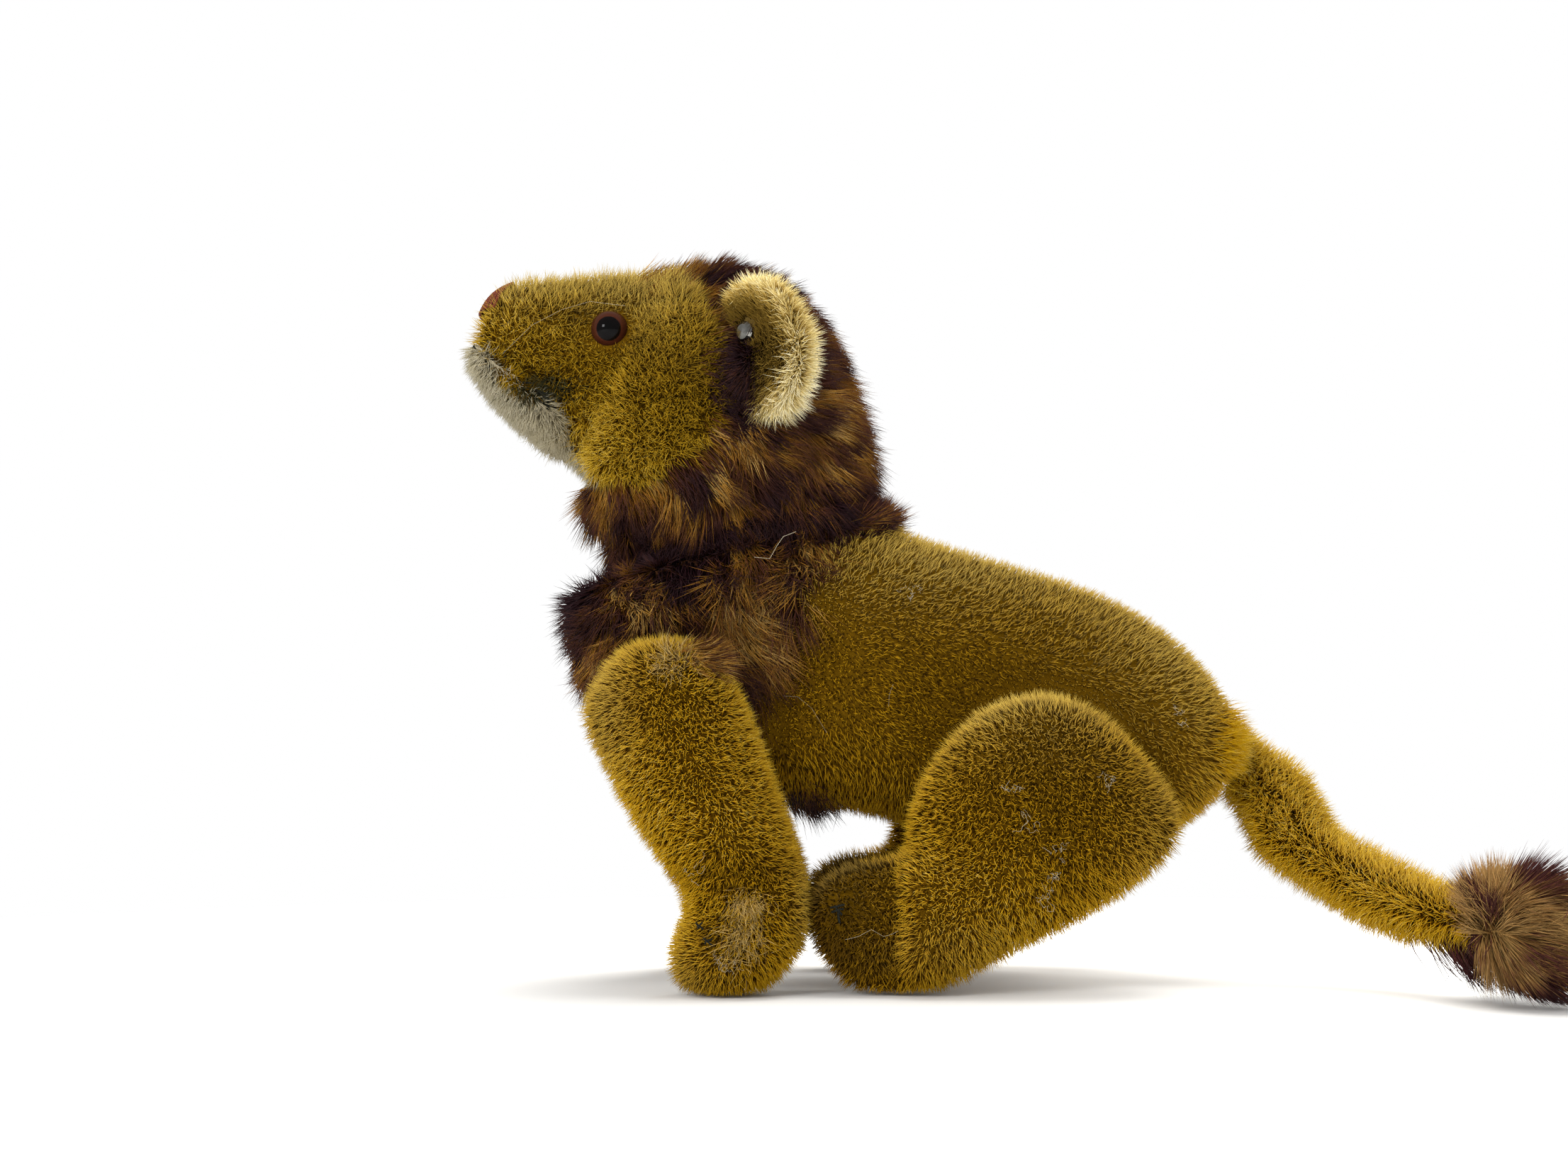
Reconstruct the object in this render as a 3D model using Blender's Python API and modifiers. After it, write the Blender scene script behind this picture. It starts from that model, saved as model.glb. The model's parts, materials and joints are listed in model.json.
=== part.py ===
# Jointed mohair lion: sewn covers over firm stuffing, with five disc joints.
# Metres, +Z up. The lion faces -X, its left side is towards -Y, its soles are at z = 0.
# The neck pin crosses the neck seam at x = 0 before the whole lion is centred on its box.

import math

import bmesh
import bpy
from mathutils import Matrix, Vector
from mathutils.bvhtree import BVHTree

# Whole animal
BODY_LENGTH = 0.100          # neck pin to tail root
BACK_HEIGHT = 0.100          # ground to the back just behind the neck
TORSO_HALF_WIDTH = 0.0255    # before the flanks are pressed flat
FLANK_HALF_WIDTH = 0.0233    # centre plane to the flat flank beside a leg
HEAD_LENGTH = 0.100          # muzzle to nape, pile included
HEAD_HEIGHT = 0.0646         # neck pin to the crown
HEAD_HALF_WIDTH = 0.0235
NECK_RISE = 0.0009           # the back to the neck pin at the seam
NECK_LEAN = math.radians(12.7)
MANE_HALF_WIDTH = 0.0290
CHEST_MANE_HALF_WIDTH = 0.0270

# Legs
FORE_LEG_LENGTH = 0.0627     # shoulder pin to sole
FORE_LEG_THICKNESS = 0.0240
SHOULDER_SHARE = -0.195      # of the body's length, from the neck pin
HIND_LEG_LENGTH = 0.0443     # hip pin to sole
HIND_LEG_THICKNESS = 0.0240
HIP_SHARE = 0.606
FORE_PRESS_RADIUS = 0.0260   # the flat round that each leg presses into the flank
HIND_PRESS_RADIUS = 0.0330
PRESS_SLOPE_SHARE = 3.0      # a pressed round's sloping edge: width over depth
SOLE_CUT = 0.0005            # depth of the flat that each sole stands on

# Cloth, stuffing and clearances
CLOTH = 0.0011               # backing cloth with its pile pressed down
LEG_TOP_CLEARANCE = 0.0012   # leg top to the mane that hangs over it
GAP = 0.0003                 # running gap and the gap between touching pieces
PIN_CLEARANCE = 0.0004
RECESS_CLEARANCE = 0.0006
CUT_OVERRUN = 0.002
WELD = 0.000002              # points closer than this become one
PRESSED_DEPTH = 0.0028       # how far a leg's inner side is pressed flat

# Disc joints
LEG_DISC_RADIUS = 0.0067
NECK_DISC_RADIUS = 0.0125
DISC_THICKNESS = 0.0020
WASHER_RADIUS = 0.0045
WASHER_THICKNESS = 0.0007
PIN_WIRE_RADIUS = 0.0006
PIN_LEG_SPACING = 0.0014     # between the centre lines of the pin's two legs
PIN_EYE_RADIUS = 0.0016
PIN_CURL_RADIUS = 0.0015

# Face
EYE_RADIUS = 0.0043
EYE_SINK = 0.0016            # depth of the eye's centre below the face
EYE_PLACE_SHARES = (-0.365, 0.728)   # of the head's length and height, from the neck pin
EYE_WIRE_RADIUS = 0.0004
EYE_WIRE_LENGTH = 0.0065
EYE_LOOP_RADIUS = 0.0011
NOSE_WIDTH = 0.0110
NOSE_LENGTH = 0.0070
NOSE_THICKNESS = 0.0030
NOSE_HEIGHT_SHARE = 0.876
MOUTH_THREAD_RADIUS = 0.0005
MOUTH_CORNER_SHARES = (-0.490, 0.489)
MOUTH_FRONT_HEIGHT_SHARE = 0.690

# Ears
EAR_LENGTH = 0.0310
EAR_WIDTH = 0.0260
EAR_THICKNESS = 0.0036
EAR_CUP = 0.0060             # how far the flap's rim bends outwards
EAR_SEAT = 0.0009            # how deep the front edge is sewn into the mane
EAR_PLACE_SHARES = (0.025, 0.613)
EAR_LEAN = math.radians(26)
EAR_SPLAY = math.radians(32)
EAR_STAND = EAR_WIDTH / 2 * math.sin(EAR_SPLAY) - EAR_SEAT
STUD_SIDE = "left"
STUD_RADIUS = 0.0024
STUD_DOME = 0.0010
STUD_POST_RADIUS = 0.0007
STUD_WASHER_RADIUS = 0.0017
STUD_WASHER_THICKNESS = 0.0005
STUD_ACROSS = -0.0010
STUD_UP = 0.0048

# Tail
TAIL_RADIUS = 0.0074
TAIL_WIRE_RADIUS = 0.0008
TAIL_WIRE_ROOT = 0.0120      # what the wire reaches into the rump's stuffing
TASSEL_LENGTH = 0.0290
TASSEL_RADIUS = 0.0150
NECK_THREAD_RADIUS = 0.0005

RING_SIDES = 8
ROUND_SEGMENTS = 14
WASHER_SEGMENTS = 10
PRESS_SEGMENTS = 18
BALL_SEGMENTS = 10
EAR_SEGMENTS = 14
NECK_THREAD_POINTS = 30
MOUTH_STEPS = 7
STUD_DOME_STEPS = 2
PIN_EYE_STEPS = 6
PIN_CURL_STEPS = 3
TURN = math.tau
SHARP_ANGLE = math.radians(40)

# A form's ring is two outline points in the side view, a half width and the fullness of its
# lower corners. Points are shares of the form's length and height, widths of its half width.
# The torso's and chest mane's heights are from the ground, the head's from the neck pin.
TORSO_RING_SHARES = (
    (0.225, 1.150, -0.245, 1.035, 0.80, 1.00),
    (0.265, 1.060, -0.300, 0.925, 0.82, 1.00),
    (0.285, 1.045, -0.365, 0.865, 0.88, 1.10),
    (0.315, 1.028, -0.395, 0.765, 1.02, 1.20),
    (0.390, 1.006, -0.385, 0.620, 1.20, 1.32),
    (0.480, 0.982, -0.315, 0.495, 1.22, 1.32),
    (0.580, 0.952, -0.150, 0.425, 1.10, 1.22),
    (0.685, 0.922, 0.110, 0.405, 1.02, 1.14),
    (0.800, 0.880, 0.310, 0.360, 1.05, 1.18),
    (0.915, 0.812, 0.530, 0.290, 1.16, 1.28),
    (1.010, 0.715, 0.780, 0.280, 1.10, 1.24),
    (1.070, 0.610, 0.940, 0.340, 0.74, 1.08),
    (1.092, 0.530, 1.035, 0.425, 0.36, 1.00),
)
HEAD_RING_SHARES = (
    (-0.670, 0.884, -0.700, 0.683, 0.34, 1.00),
    (-0.605, 0.961, -0.665, 0.559, 0.60, 1.00),
    (-0.485, 0.969, -0.575, 0.412, 0.74, 1.00),
    (-0.345, 0.985, -0.485, 0.303, 0.86, 1.00),
    (-0.185, 1.000, -0.425, 0.218, 0.95, 1.00),
    (-0.025, 0.946, -0.390, 0.141, 1.00, 1.00),
    (0.105, 0.776, -0.355, 0.063, 0.99, 1.00),
    (0.175, 0.543, -0.305, -0.006, 0.94, 1.00),
    (0.205, 0.311, -0.275, -0.053, 0.89, 1.00),
    (0.230, 0.094, -0.240, -0.130, 0.86, 1.00),
    (0.240, -0.053, -0.210, -0.223, 0.84, 1.00),
)
HEAD_MANE_RING_SHARES = (
    (-0.270, 1.031, -0.455, 0.195, 0.62, 1.00),
    (-0.125, 1.093, -0.462, 0.118, 0.88, 1.00),
    (0.050, 1.026, -0.445, 0.040, 1.00, 1.00),
    (0.155, 0.845, -0.415, -0.014, 1.02, 1.00),
    (0.222, 0.605, -0.375, -0.053, 1.00, 1.00),
    (0.258, 0.342, -0.335, -0.084, 0.97, 1.00),
    (0.272, 0.118, -0.300, -0.161, 0.93, 1.00),
    (0.275, -0.037, -0.285, -0.246, 0.92, 1.00),
)
CHEST_MANE_RING_SHARES = (
    (0.295, 1.160, -0.300, 1.010, 0.94, 1.00),
    (0.325, 1.065, -0.420, 0.910, 1.00, 1.00),
    (0.290, 1.010, -0.500, 0.850, 1.02, 1.00),
    (0.180, 0.970, -0.480, 0.760, 1.00, 1.00),
    (0.080, 0.880, -0.450, 0.670, 0.98, 1.00),
    (0.000, 0.740, -0.400, 0.600, 0.93, 1.00),
)
CHIN_RING_SHARES = (
    (-0.640, 0.768, -0.712, 0.745, 0.34, 1.00),
    (-0.590, 0.714, -0.708, 0.628, 0.58, 1.00),
    (-0.530, 0.636, -0.635, 0.489, 0.74, 1.00),
    (-0.470, 0.528, -0.550, 0.373, 0.80, 1.00),
    (-0.410, 0.420, -0.460, 0.280, 0.66, 1.00),
)
# A leg's shares are of its own pin-to-sole length, measured from the pin.
FORE_LEG_RING_SHARES = (
    (-0.190, 0.225, 0.085, 0.235, 0.86, 1.00),
    (-0.295, 0.053, 0.215, 0.053, 1.02, 1.00),
    (-0.284, -0.107, 0.279, -0.107, 1.00, 1.00),
    (-0.214, -0.282, 0.343, -0.298, 1.00, 1.00),
    (-0.108, -0.458, 0.411, -0.474, 0.97, 1.00),
    (0.008, -0.600, 0.455, -0.625, 0.92, 1.00),
    (0.054, -0.680, 0.466, -0.720, 0.88, 1.00),
    (-0.022, -0.808, 0.437, -0.817, 0.97, 1.00),
    (-0.022, -0.920, 0.360, -0.912, 0.86, 1.00),
    (0.062, -0.990, 0.245, -0.990, 0.56, 1.00),
)
HIND_LEG_RING_SHARES = (
    (-0.183, 0.470, 0.110, 0.465, 0.60, 1.00),
    (-0.431, 0.320, 0.359, 0.300, 0.88, 1.00),
    (-0.607, 0.130, 0.546, 0.065, 1.00, 1.00),
    (-0.700, -0.090, 0.637, -0.155, 1.00, 1.00),
    (-0.707, -0.228, 0.545, -0.355, 1.00, 1.00),
    (-0.704, -0.295, 0.215, -0.575, 0.97, 1.00),
    (-0.725, -0.313, -0.225, -0.765, 0.92, 1.00),
    (-0.792, -0.318, -0.578, -0.980, 0.88, 1.00),
    (-0.948, -0.322, -0.883, -0.990, 0.86, 1.00),
    (-1.130, -0.410, -1.110, -0.835, 0.64, 1.00),
)
# The tail's centre line from inside the rump to the tassel: shares of the body's length and
# the back's height, the swing to the lion's left in torso half widths, and the tail's own
# radius.
TAIL_PATH_SHARES = (
    (1.000, 0.560, 0.00, 0.90),
    (1.065, 0.515, 0.00, 0.92),
    (1.110, 0.470, 0.00, 0.96),
    (1.155, 0.412, -0.12, 1.00),
    (1.200, 0.350, -0.27, 1.04),
    (1.242, 0.290, -0.47, 1.04),
    (1.285, 0.242, -0.71, 1.02),
    (1.327, 0.210, -0.94, 1.00),
    (1.367, 0.188, -1.18, 0.98),
    (1.408, 0.173, -1.45, 0.96),
    (1.450, 0.164, -1.73, 0.92),
)
TASSEL_STATION_SHARES = (0.45, 0.74, 0.93, 1.00, 0.96, 0.74, 0.30)
OWN_SHARE = 0.75             # what a cage point keeps of its own place in one subdivision


def clear_scene():
    for old in list(bpy.data.objects):
        bpy.data.objects.remove(old, do_unlink=True)


def new_collection(name):
    collection = bpy.data.collections.new(name)
    bpy.context.scene.collection.children.link(collection)
    return collection


def make_material(name, colour, roughness, metallic=0.0):
    material = bpy.data.materials.new(name)
    material.use_nodes = True
    shader = material.node_tree.nodes["Principled BSDF"]
    shader.inputs["Base Color"].default_value = (*colour, 1.0)
    shader.inputs["Roughness"].default_value = roughness
    shader.inputs["Metallic"].default_value = metallic
    material.diffuse_color = (*colour, 1.0)
    return material


clear_scene()
lion = new_collection("plush_lion")
cutters = new_collection("cutters")

GOLD = make_material("gold_mohair", (0.42, 0.24, 0.035), 0.9)
MANE = make_material("brown_mane_mohair", (0.16, 0.065, 0.03), 0.9)
WHITE = make_material("white_mohair", (0.62, 0.57, 0.47), 0.9)
CREAM = make_material("cream_mohair", (0.60, 0.45, 0.19), 0.9)
WOOL = make_material("wood_wool", (0.55, 0.42, 0.24), 0.95)
BOARD = make_material("hardboard", (0.30, 0.19, 0.10), 0.8)
STEEL = make_material("steel", (0.55, 0.55, 0.55), 0.35, 1.0)
NICKEL = make_material("plain_stud_metal", (0.60, 0.58, 0.54), 0.3, 1.0)
GLASS = make_material("brown_glass", (0.06, 0.012, 0.006), 0.08)
RUST = make_material("rust_thread", (0.42, 0.10, 0.06), 0.8)
BLACK = make_material("black_thread", (0.02, 0.018, 0.016), 0.7)
PALE = make_material("pale_thread", (0.62, 0.58, 0.50), 0.8)


def add_object(name, mesh, material, parent):
    """Put a mesh given in the lion's frame under its joint, without moving it."""
    part = bpy.data.objects.new(name, mesh)
    lion.objects.link(part)
    mesh.materials.clear()
    mesh.materials.append(material)
    mesh.transform(parent.matrix_world.inverted())
    part.parent = parent
    mesh.shade_smooth()
    mesh.set_sharp_from_angle(angle=SHARP_ANGLE)


def add_joint(name, point, axis):
    """An empty on a joint's axis, its Z axis pointing from the torso into the moving piece."""
    joint = bpy.data.objects.new(name, None)
    lion.objects.link(joint)
    joint.parent = root
    joint.location = point
    joint.rotation_euler = axis.to_track_quat("Z", "Y").to_euler()
    bpy.context.view_layer.update()
    return joint


def evaluated_mesh(source):
    """The mesh of an object with its modifiers applied, in the lion's frame."""
    bpy.context.view_layer.update()
    graph = bpy.context.evaluated_depsgraph_get()
    ready = source.evaluated_get(graph)
    mesh = bpy.data.meshes.new_from_object(ready, depsgraph=graph)
    mesh.transform(ready.matrix_world)
    return mesh


def mesh_from(build, name):
    mesh = bpy.data.meshes.new(name)
    build.to_mesh(mesh)
    build.free()
    return mesh


def boolean(mesh, tools, operation="DIFFERENCE"):
    """Cut or join a mesh with a list of meshes, one exact Boolean at a time."""
    work = bpy.data.objects.new("work", mesh)
    cutters.objects.link(work)
    for number, tool_mesh in enumerate(tools):
        tool = new_cutter(f"cutter_{len(cutters.objects)}", tool_mesh)
        cut = work.modifiers.new(f"cut_{number}", "BOOLEAN")
        cut.operation = operation
        cut.solver = "EXACT"
        cut.object = tool
    result = evaluated_mesh(work)
    bpy.data.objects.remove(work)
    return result


def new_cutter(name, mesh):
    tool = bpy.data.objects.new(name, mesh)
    cutters.objects.link(tool)
    tool.hide_render = True
    tool.display_type = "WIRE"
    return tool


def ring_points(ring, length, height, half_width, centre):
    """Eight cage points round one ring, its long axis joining the ring's two outline points.
    Each is set out by what one level of subdivision takes in, so that the form reaches them."""
    top_x, top_z, low_x, low_z, width_share, full_share = ring
    top = Vector((centre.x + top_x * length, centre.y, centre.z + top_z * height))
    low = Vector((centre.x + low_x * length, centre.y, centre.z + low_z * height))
    middle = (top + low) / 2
    corner = math.cos(TURN / RING_SIDES) * (1 - OWN_SHARE)
    tall_up = (top - middle) / (OWN_SHARE + corner)
    tall_down = (top - middle) / (OWN_SHARE + corner * full_share)
    wide = half_width * width_share / (OWN_SHARE + corner * (1 + full_share) / 2)
    points = []
    for step in range(RING_SIDES):
        angle = TURN * step / RING_SIDES
        up = math.cos(angle)
        out = math.sin(angle)
        full = full_share if step in (3, 5) else 1.0
        tall = tall_down if up < 0 else tall_up
        points.append(middle + (tall * up + Vector((0, wide * out, 0))) * full)
    return points


def form_mesh(name, rings, length, height, half_width, centre, offset=0.0):
    """A stuffed form: a closed cage of rings, rounded by one level of subdivision, and then
    moved out along its normals by the offset. Where that is negative, as for a cavity, the
    form keeps the cage's own faces, with their corners on the rounded surface."""
    build = bmesh.new()
    grid = []
    for ring in rings:
        points = ring_points(ring, length, height, half_width, centre)
        grid.append([build.verts.new(point) for point in points])
    for near, far in zip(grid, grid[1:]):
        for step in range(RING_SIDES):
            after = (step + 1) % RING_SIDES
            build.faces.new((near[step], near[after], far[after], far[step]))
    build.faces.new(list(reversed(grid[0])))
    build.faces.new(grid[-1])
    bmesh.ops.recalc_face_normals(build, faces=build.faces)
    flat_mesh = mesh_from(build, name)
    cage = new_cutter(name, flat_mesh)
    rounding = cage.modifiers.new("rounding", "SUBSURF")
    rounding.levels = 1
    rounding.render_levels = 1
    mesh = evaluated_mesh(cage)
    bpy.data.objects.remove(cage)
    if offset < 0:
        for flat, rounded in zip(flat_mesh.vertices, mesh.vertices):
            flat.co = rounded.co
        mesh = flat_mesh
    build = bmesh.new()
    build.from_mesh(mesh)
    bmesh.ops.triangulate(build, faces=build.faces, quad_method="FIXED")
    build.to_mesh(mesh)
    build.free()
    moves = [normal.vector * offset for normal in mesh.vertex_normals]
    for vertex, move in zip(mesh.vertices, moves):
        vertex.co += move
    return mesh


def box_mesh(low, high):
    build = bmesh.new()
    bmesh.ops.create_cube(build, size=1)
    size = Vector(high) - Vector(low)
    middle = (Vector(high) + Vector(low)) / 2
    bmesh.ops.scale(build, vec=size, verts=build.verts)
    bmesh.ops.translate(build, vec=middle, verts=build.verts)
    return mesh_from(build, "box")


def cylinder_mesh(radius, low, high, frame, segments=ROUND_SEGMENTS, far_radius=None):
    """A cylinder, or a cone's frustum, along a frame's Z axis, from low to high."""
    build = bmesh.new()
    bmesh.ops.create_cone(build, cap_ends=True, segments=segments, radius1=radius,
                          radius2=far_radius or radius, depth=high - low)
    bmesh.ops.translate(build, vec=(0, 0, (low + high) / 2), verts=build.verts)
    mesh = mesh_from(build, "cylinder")
    mesh.transform(frame)
    return mesh


def turned_object(name, profile, segments, material, joint, closed=True):
    """A turned piece about a joint's Z axis: its profile runs down the outer side, and is a
    loop round a bore, or runs from the axis to the axis."""
    build = bmesh.new()
    corners = [build.verts.new((radius, 0, along)) for radius, along in profile]
    following = corners[1:] + corners[:1] if closed else corners[1:]
    for start, end in zip(corners, following):
        build.edges.new((start, end))
    piece = bpy.data.objects.new(name, mesh_from(build, name))
    lion.objects.link(piece)
    piece.data.materials.append(material)
    turn = piece.modifiers.new("turn", "SCREW")
    turn.steps = segments
    turn.render_steps = segments
    turn.use_merge_vertices = True
    turn.merge_threshold = WELD
    turn.use_smooth_shade = False
    piece.parent = joint


def tube_mesh(name, points, radius, resolution=1, radii=None):
    """A closed round tube along points, with welded caps, in the points' own frame."""
    curve = bpy.data.curves.new(name, "CURVE")
    curve.dimensions = "3D"
    curve.bevel_depth = radius
    curve.bevel_resolution = resolution
    curve.use_fill_caps = True
    spline = curve.splines.new("POLY")
    spline.points.add(len(points) - 1)
    for number, point in enumerate(points):
        spline.points[number].co = (*point, 1.0)
        if radii:
            spline.points[number].radius = radii[number]
    guide = bpy.data.objects.new(name, curve)
    cutters.objects.link(guide)
    mesh = evaluated_mesh(guide)
    bpy.data.objects.remove(guide)
    build = bmesh.new()
    build.from_mesh(mesh)
    bmesh.ops.remove_doubles(build, verts=build.verts, dist=WELD)
    bmesh.ops.recalc_face_normals(build, faces=build.faces)
    build.to_mesh(mesh)
    build.free()
    return mesh


def arc(centre, radius, start, end, steps):
    """Points of an arc in the XZ plane, angles in turns from +X towards +Z."""
    points = []
    for step in range(steps + 1):
        angle = TURN * (start + (end - start) * step / steps)
        points.append(Vector((centre[0] + radius * math.cos(angle), 0,
                              centre[1] + radius * math.sin(angle))))
    return points


# Disc joint

COVER_FACE = GAP / 2
DISC_FACE = COVER_FACE + CLOTH + GAP
WASHER_FACE = DISC_FACE + DISC_THICKNESS + GAP
PIN_FACE = WASHER_FACE + WASHER_THICKNESS + GAP
PIN_BORE = PIN_LEG_SPACING / 2 + PIN_WIRE_RADIUS + PIN_CLEARANCE
STACK_REACH = PIN_FACE + 2 * (PIN_EYE_RADIUS + PIN_WIRE_RADIUS) + GAP
INNER_FACE = DISC_FACE - GAP / 2


def ring_profile(outer, bore, low, high):
    return ((outer, high), (outer, low), (bore, low), (bore, high))


def split_pin(name, joint):
    """One wire: a curled end, a leg, round the eye, the other leg and the other curled end."""
    half = PIN_LEG_SPACING / 2
    eye_rise = math.sqrt(PIN_EYE_RADIUS ** 2 - half ** 2)
    eye_centre = PIN_FACE + PIN_WIRE_RADIUS + PIN_EYE_RADIUS
    lean = math.acos(half / PIN_EYE_RADIUS) / TURN
    eye = arc((0, eye_centre), PIN_EYE_RADIUS, -lean, 0.5 + lean, PIN_EYE_STEPS)
    curl_face = -PIN_FACE - PIN_WIRE_RADIUS - GAP
    right_curl = arc((half + PIN_CURL_RADIUS, curl_face), PIN_CURL_RADIUS, 0.5, 1.0,
                     PIN_CURL_STEPS)
    left_curl = arc((-half - PIN_CURL_RADIUS, curl_face), PIN_CURL_RADIUS, -0.5, 0.0,
                    PIN_CURL_STEPS)
    leg_top = eye_centre - eye_rise - PIN_WIRE_RADIUS
    path = list(reversed(right_curl))
    path += [Vector((half, 0, leg_top))]
    path += eye
    path += [Vector((-half, 0, leg_top))]
    path += list(reversed(left_curl))
    mesh = tube_mesh(name, path, PIN_WIRE_RADIUS)
    mesh.transform(joint.matrix_world)
    add_object(name, mesh, STEEL, joint)


def disc_joint(label, joint, fixed, disc_radius):
    """Discs and washers on both sides of the cloth, and the pin that holds them together."""
    for side, owner, sign in (("body", fixed, -1), ("limb", joint, 1)):
        disc_faces = sorted((sign * DISC_FACE, sign * (DISC_FACE + DISC_THICKNESS)))
        washer_faces = sorted((sign * WASHER_FACE, sign * (WASHER_FACE + WASHER_THICKNESS)))
        turned_object(f"{label}_{side}_disc", ring_profile(disc_radius, PIN_BORE, *disc_faces),
                      ROUND_SEGMENTS, BOARD, owner)
        turned_object(f"{label}_{side}_washer", ring_profile(WASHER_RADIUS, PIN_BORE, *washer_faces),
                      WASHER_SEGMENTS, STEEL, owner)
    split_pin(f"{label}_split_pin", joint)


def stack_room(joint, disc_radius, sign, start=-CUT_OVERRUN):
    """The room that a disc and its pin end take on one side of a joint, in the stuffing, or in
    a cover where that curves in round them."""
    frame = joint.matrix_world
    seat = WASHER_FACE - GAP + RECESS_CLEARANCE
    wide = sorted((sign * start, sign * seat))
    deep = sorted((sign * start, sign * (STACK_REACH + RECESS_CLEARANCE)))
    return [cylinder_mesh(disc_radius + RECESS_CLEARANCE, *wide, frame),
            cylinder_mesh(WASHER_RADIUS + RECESS_CLEARANCE, *deep, frame, WASHER_SEGMENTS)]


def pin_hole(joint, sign):
    reach = sorted((-sign * CUT_OVERRUN, sign * (DISC_FACE + CUT_OVERRUN)))
    return cylinder_mesh(PIN_BORE, *reach, joint.matrix_world, WASHER_SEGMENTS)


# Joints

NECK_GROOVE = COVER_FACE + 2 * NECK_THREAD_RADIUS + 2 * GAP
NECK_AXIS = Vector((-math.sin(NECK_LEAN), 0, math.cos(NECK_LEAN)))
NECK_POINT = Vector((0, 0, BACK_HEIGHT + NECK_RISE))
ORIGIN = Vector((0, 0, 0))
JOINT_PLANE = FLANK_HALF_WIDTH + COVER_FACE

root = bpy.data.objects.new("lion_root", None)
lion.objects.link(root)
neck_joint = add_joint("neck_joint", NECK_POINT, NECK_AXIS)
neck_body_side = add_joint("neck_body_side", NECK_POINT, NECK_AXIS)


def far_box(frame, sign, start):
    """A large box on one side of a joint plane, beyond a distance from it along the axis."""
    span = BODY_LENGTH
    low, high = sorted((sign * start, sign * span))
    tool = box_mesh((-span, -span, low), (span, span, high))
    tool.transform(frame)
    return tool


def flank_cuts(offset):
    """The flat rounds, with sloping edges, that the legs press into the flanks."""
    cuts = []
    for leg in legs:
        low = offset - COVER_FACE
        radius = leg["press_radius"] - offset
        cuts.append(cylinder_mesh(radius, low, low + TORSO_HALF_WIDTH, leg["fixed"].matrix_world,
                                  PRESS_SEGMENTS, radius + TORSO_HALF_WIDTH * PRESS_SLOPE_SHARE))
    return cuts


def list_legs():
    legs = []
    for side_name, side in (("left", -1), ("right", 1)):
        for kind, x, length, thickness, press_radius, rings in (
                ("fore_leg", SHOULDER_SHARE * BODY_LENGTH, FORE_LEG_LENGTH, FORE_LEG_THICKNESS,
                 FORE_PRESS_RADIUS, FORE_LEG_RING_SHARES),
                ("hind_leg", HIP_SHARE * BODY_LENGTH, HIND_LEG_LENGTH, HIND_LEG_THICKNESS,
                 HIND_PRESS_RADIUS, HIND_LEG_RING_SHARES)):
            name = f"{side_name}_{kind}"
            pin = Vector((x, side * JOINT_PLANE, length))
            axis = Vector((0, side, 0))
            legs.append({
                "name": name, "side": side, "pin": pin, "rings": rings,
                "length": length, "thickness": thickness, "press_radius": press_radius,
                "joint": add_joint(f"{name}_joint", pin, axis),
                "fixed": add_joint(f"{name}_body_side", pin, axis),
            })
    return legs


legs = list_legs()


# Torso

def torso_form(offset=0.0):
    mesh = form_mesh("torso_form", TORSO_RING_SHARES, BODY_LENGTH, BACK_HEIGHT,
                     TORSO_HALF_WIDTH, ORIGIN, offset)
    cuts = flank_cuts(offset)
    cuts.append(far_box(neck_joint.matrix_world, 1, offset - COVER_FACE))
    return boolean(mesh, cuts)


def make_torso(leg_joints):
    joints = [(neck_joint, NECK_DISC_RADIUS)] + [(joint, LEG_DISC_RADIUS) for joint in leg_joints]
    holes = [tail_wire_room()]
    for joint, disc_radius in joints:
        holes += [pin_hole(joint, -1)] + stack_room(joint, disc_radius, -1, INNER_FACE)
    cover = boolean(torso_form(), [torso_form(-CLOTH)] + holes)
    add_object("torso_cover", cover, GOLD, root)
    recesses = []
    for joint, disc_radius in joints:
        recesses += stack_room(joint, disc_radius, -1)
    recesses.append(tail_wire_room())
    stuffing = boolean(torso_form(-CLOTH - GAP), recesses)
    add_object("torso_stuffing", stuffing, WOOL, root)


# Head

def head_form(offset=0.0):
    mesh = form_mesh("head_form", HEAD_RING_SHARES, HEAD_LENGTH, HEAD_HEIGHT,
                     HEAD_HALF_WIDTH, NECK_POINT, offset)
    return boolean(mesh, [far_box(neck_joint.matrix_world, -1, offset - COVER_FACE)])


def make_head(eyes):
    openings = [pin_hole(neck_joint, 1)] + stack_room(neck_joint, NECK_DISC_RADIUS, 1, INNER_FACE)
    openings += eye_sockets(eyes)
    cover = boolean(head_form(), [head_form(-CLOTH)] + openings)
    add_object("head_cover", cover, GOLD, neck_joint)
    recesses = stack_room(neck_joint, NECK_DISC_RADIUS, 1) + eye_sockets(eyes) + wire_rooms(eyes)
    add_object("head_stuffing", boolean(head_form(-CLOTH - GAP), recesses), WOOL, neck_joint)


# Legs

def leg_form(leg, offset=0.0):
    half = leg["thickness"] / 2
    centre = leg["pin"] + Vector((0, leg["side"] * (half - PRESSED_DEPTH), 0))
    return form_mesh(leg["name"], leg["rings"], leg["length"], leg["length"], half, centre, offset)


def cut_leg(mesh, leg, offset, drop):
    """Press the leg's inner side flat beside the flank, and cut the sole to stand on."""
    mesh.transform(Matrix.Translation((0, 0, drop)))
    span = 2 * BODY_LENGTH
    inner = leg["side"] * (JOINT_PLANE + COVER_FACE - offset)
    flat = sorted((-leg["side"] * span, inner))
    side_box = box_mesh((-span, flat[0], -span), (span, flat[1], span))
    sole_box = box_mesh((-span, -span, -span), (span, span, -offset))
    return boolean(mesh, [side_box, sole_box])


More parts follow.
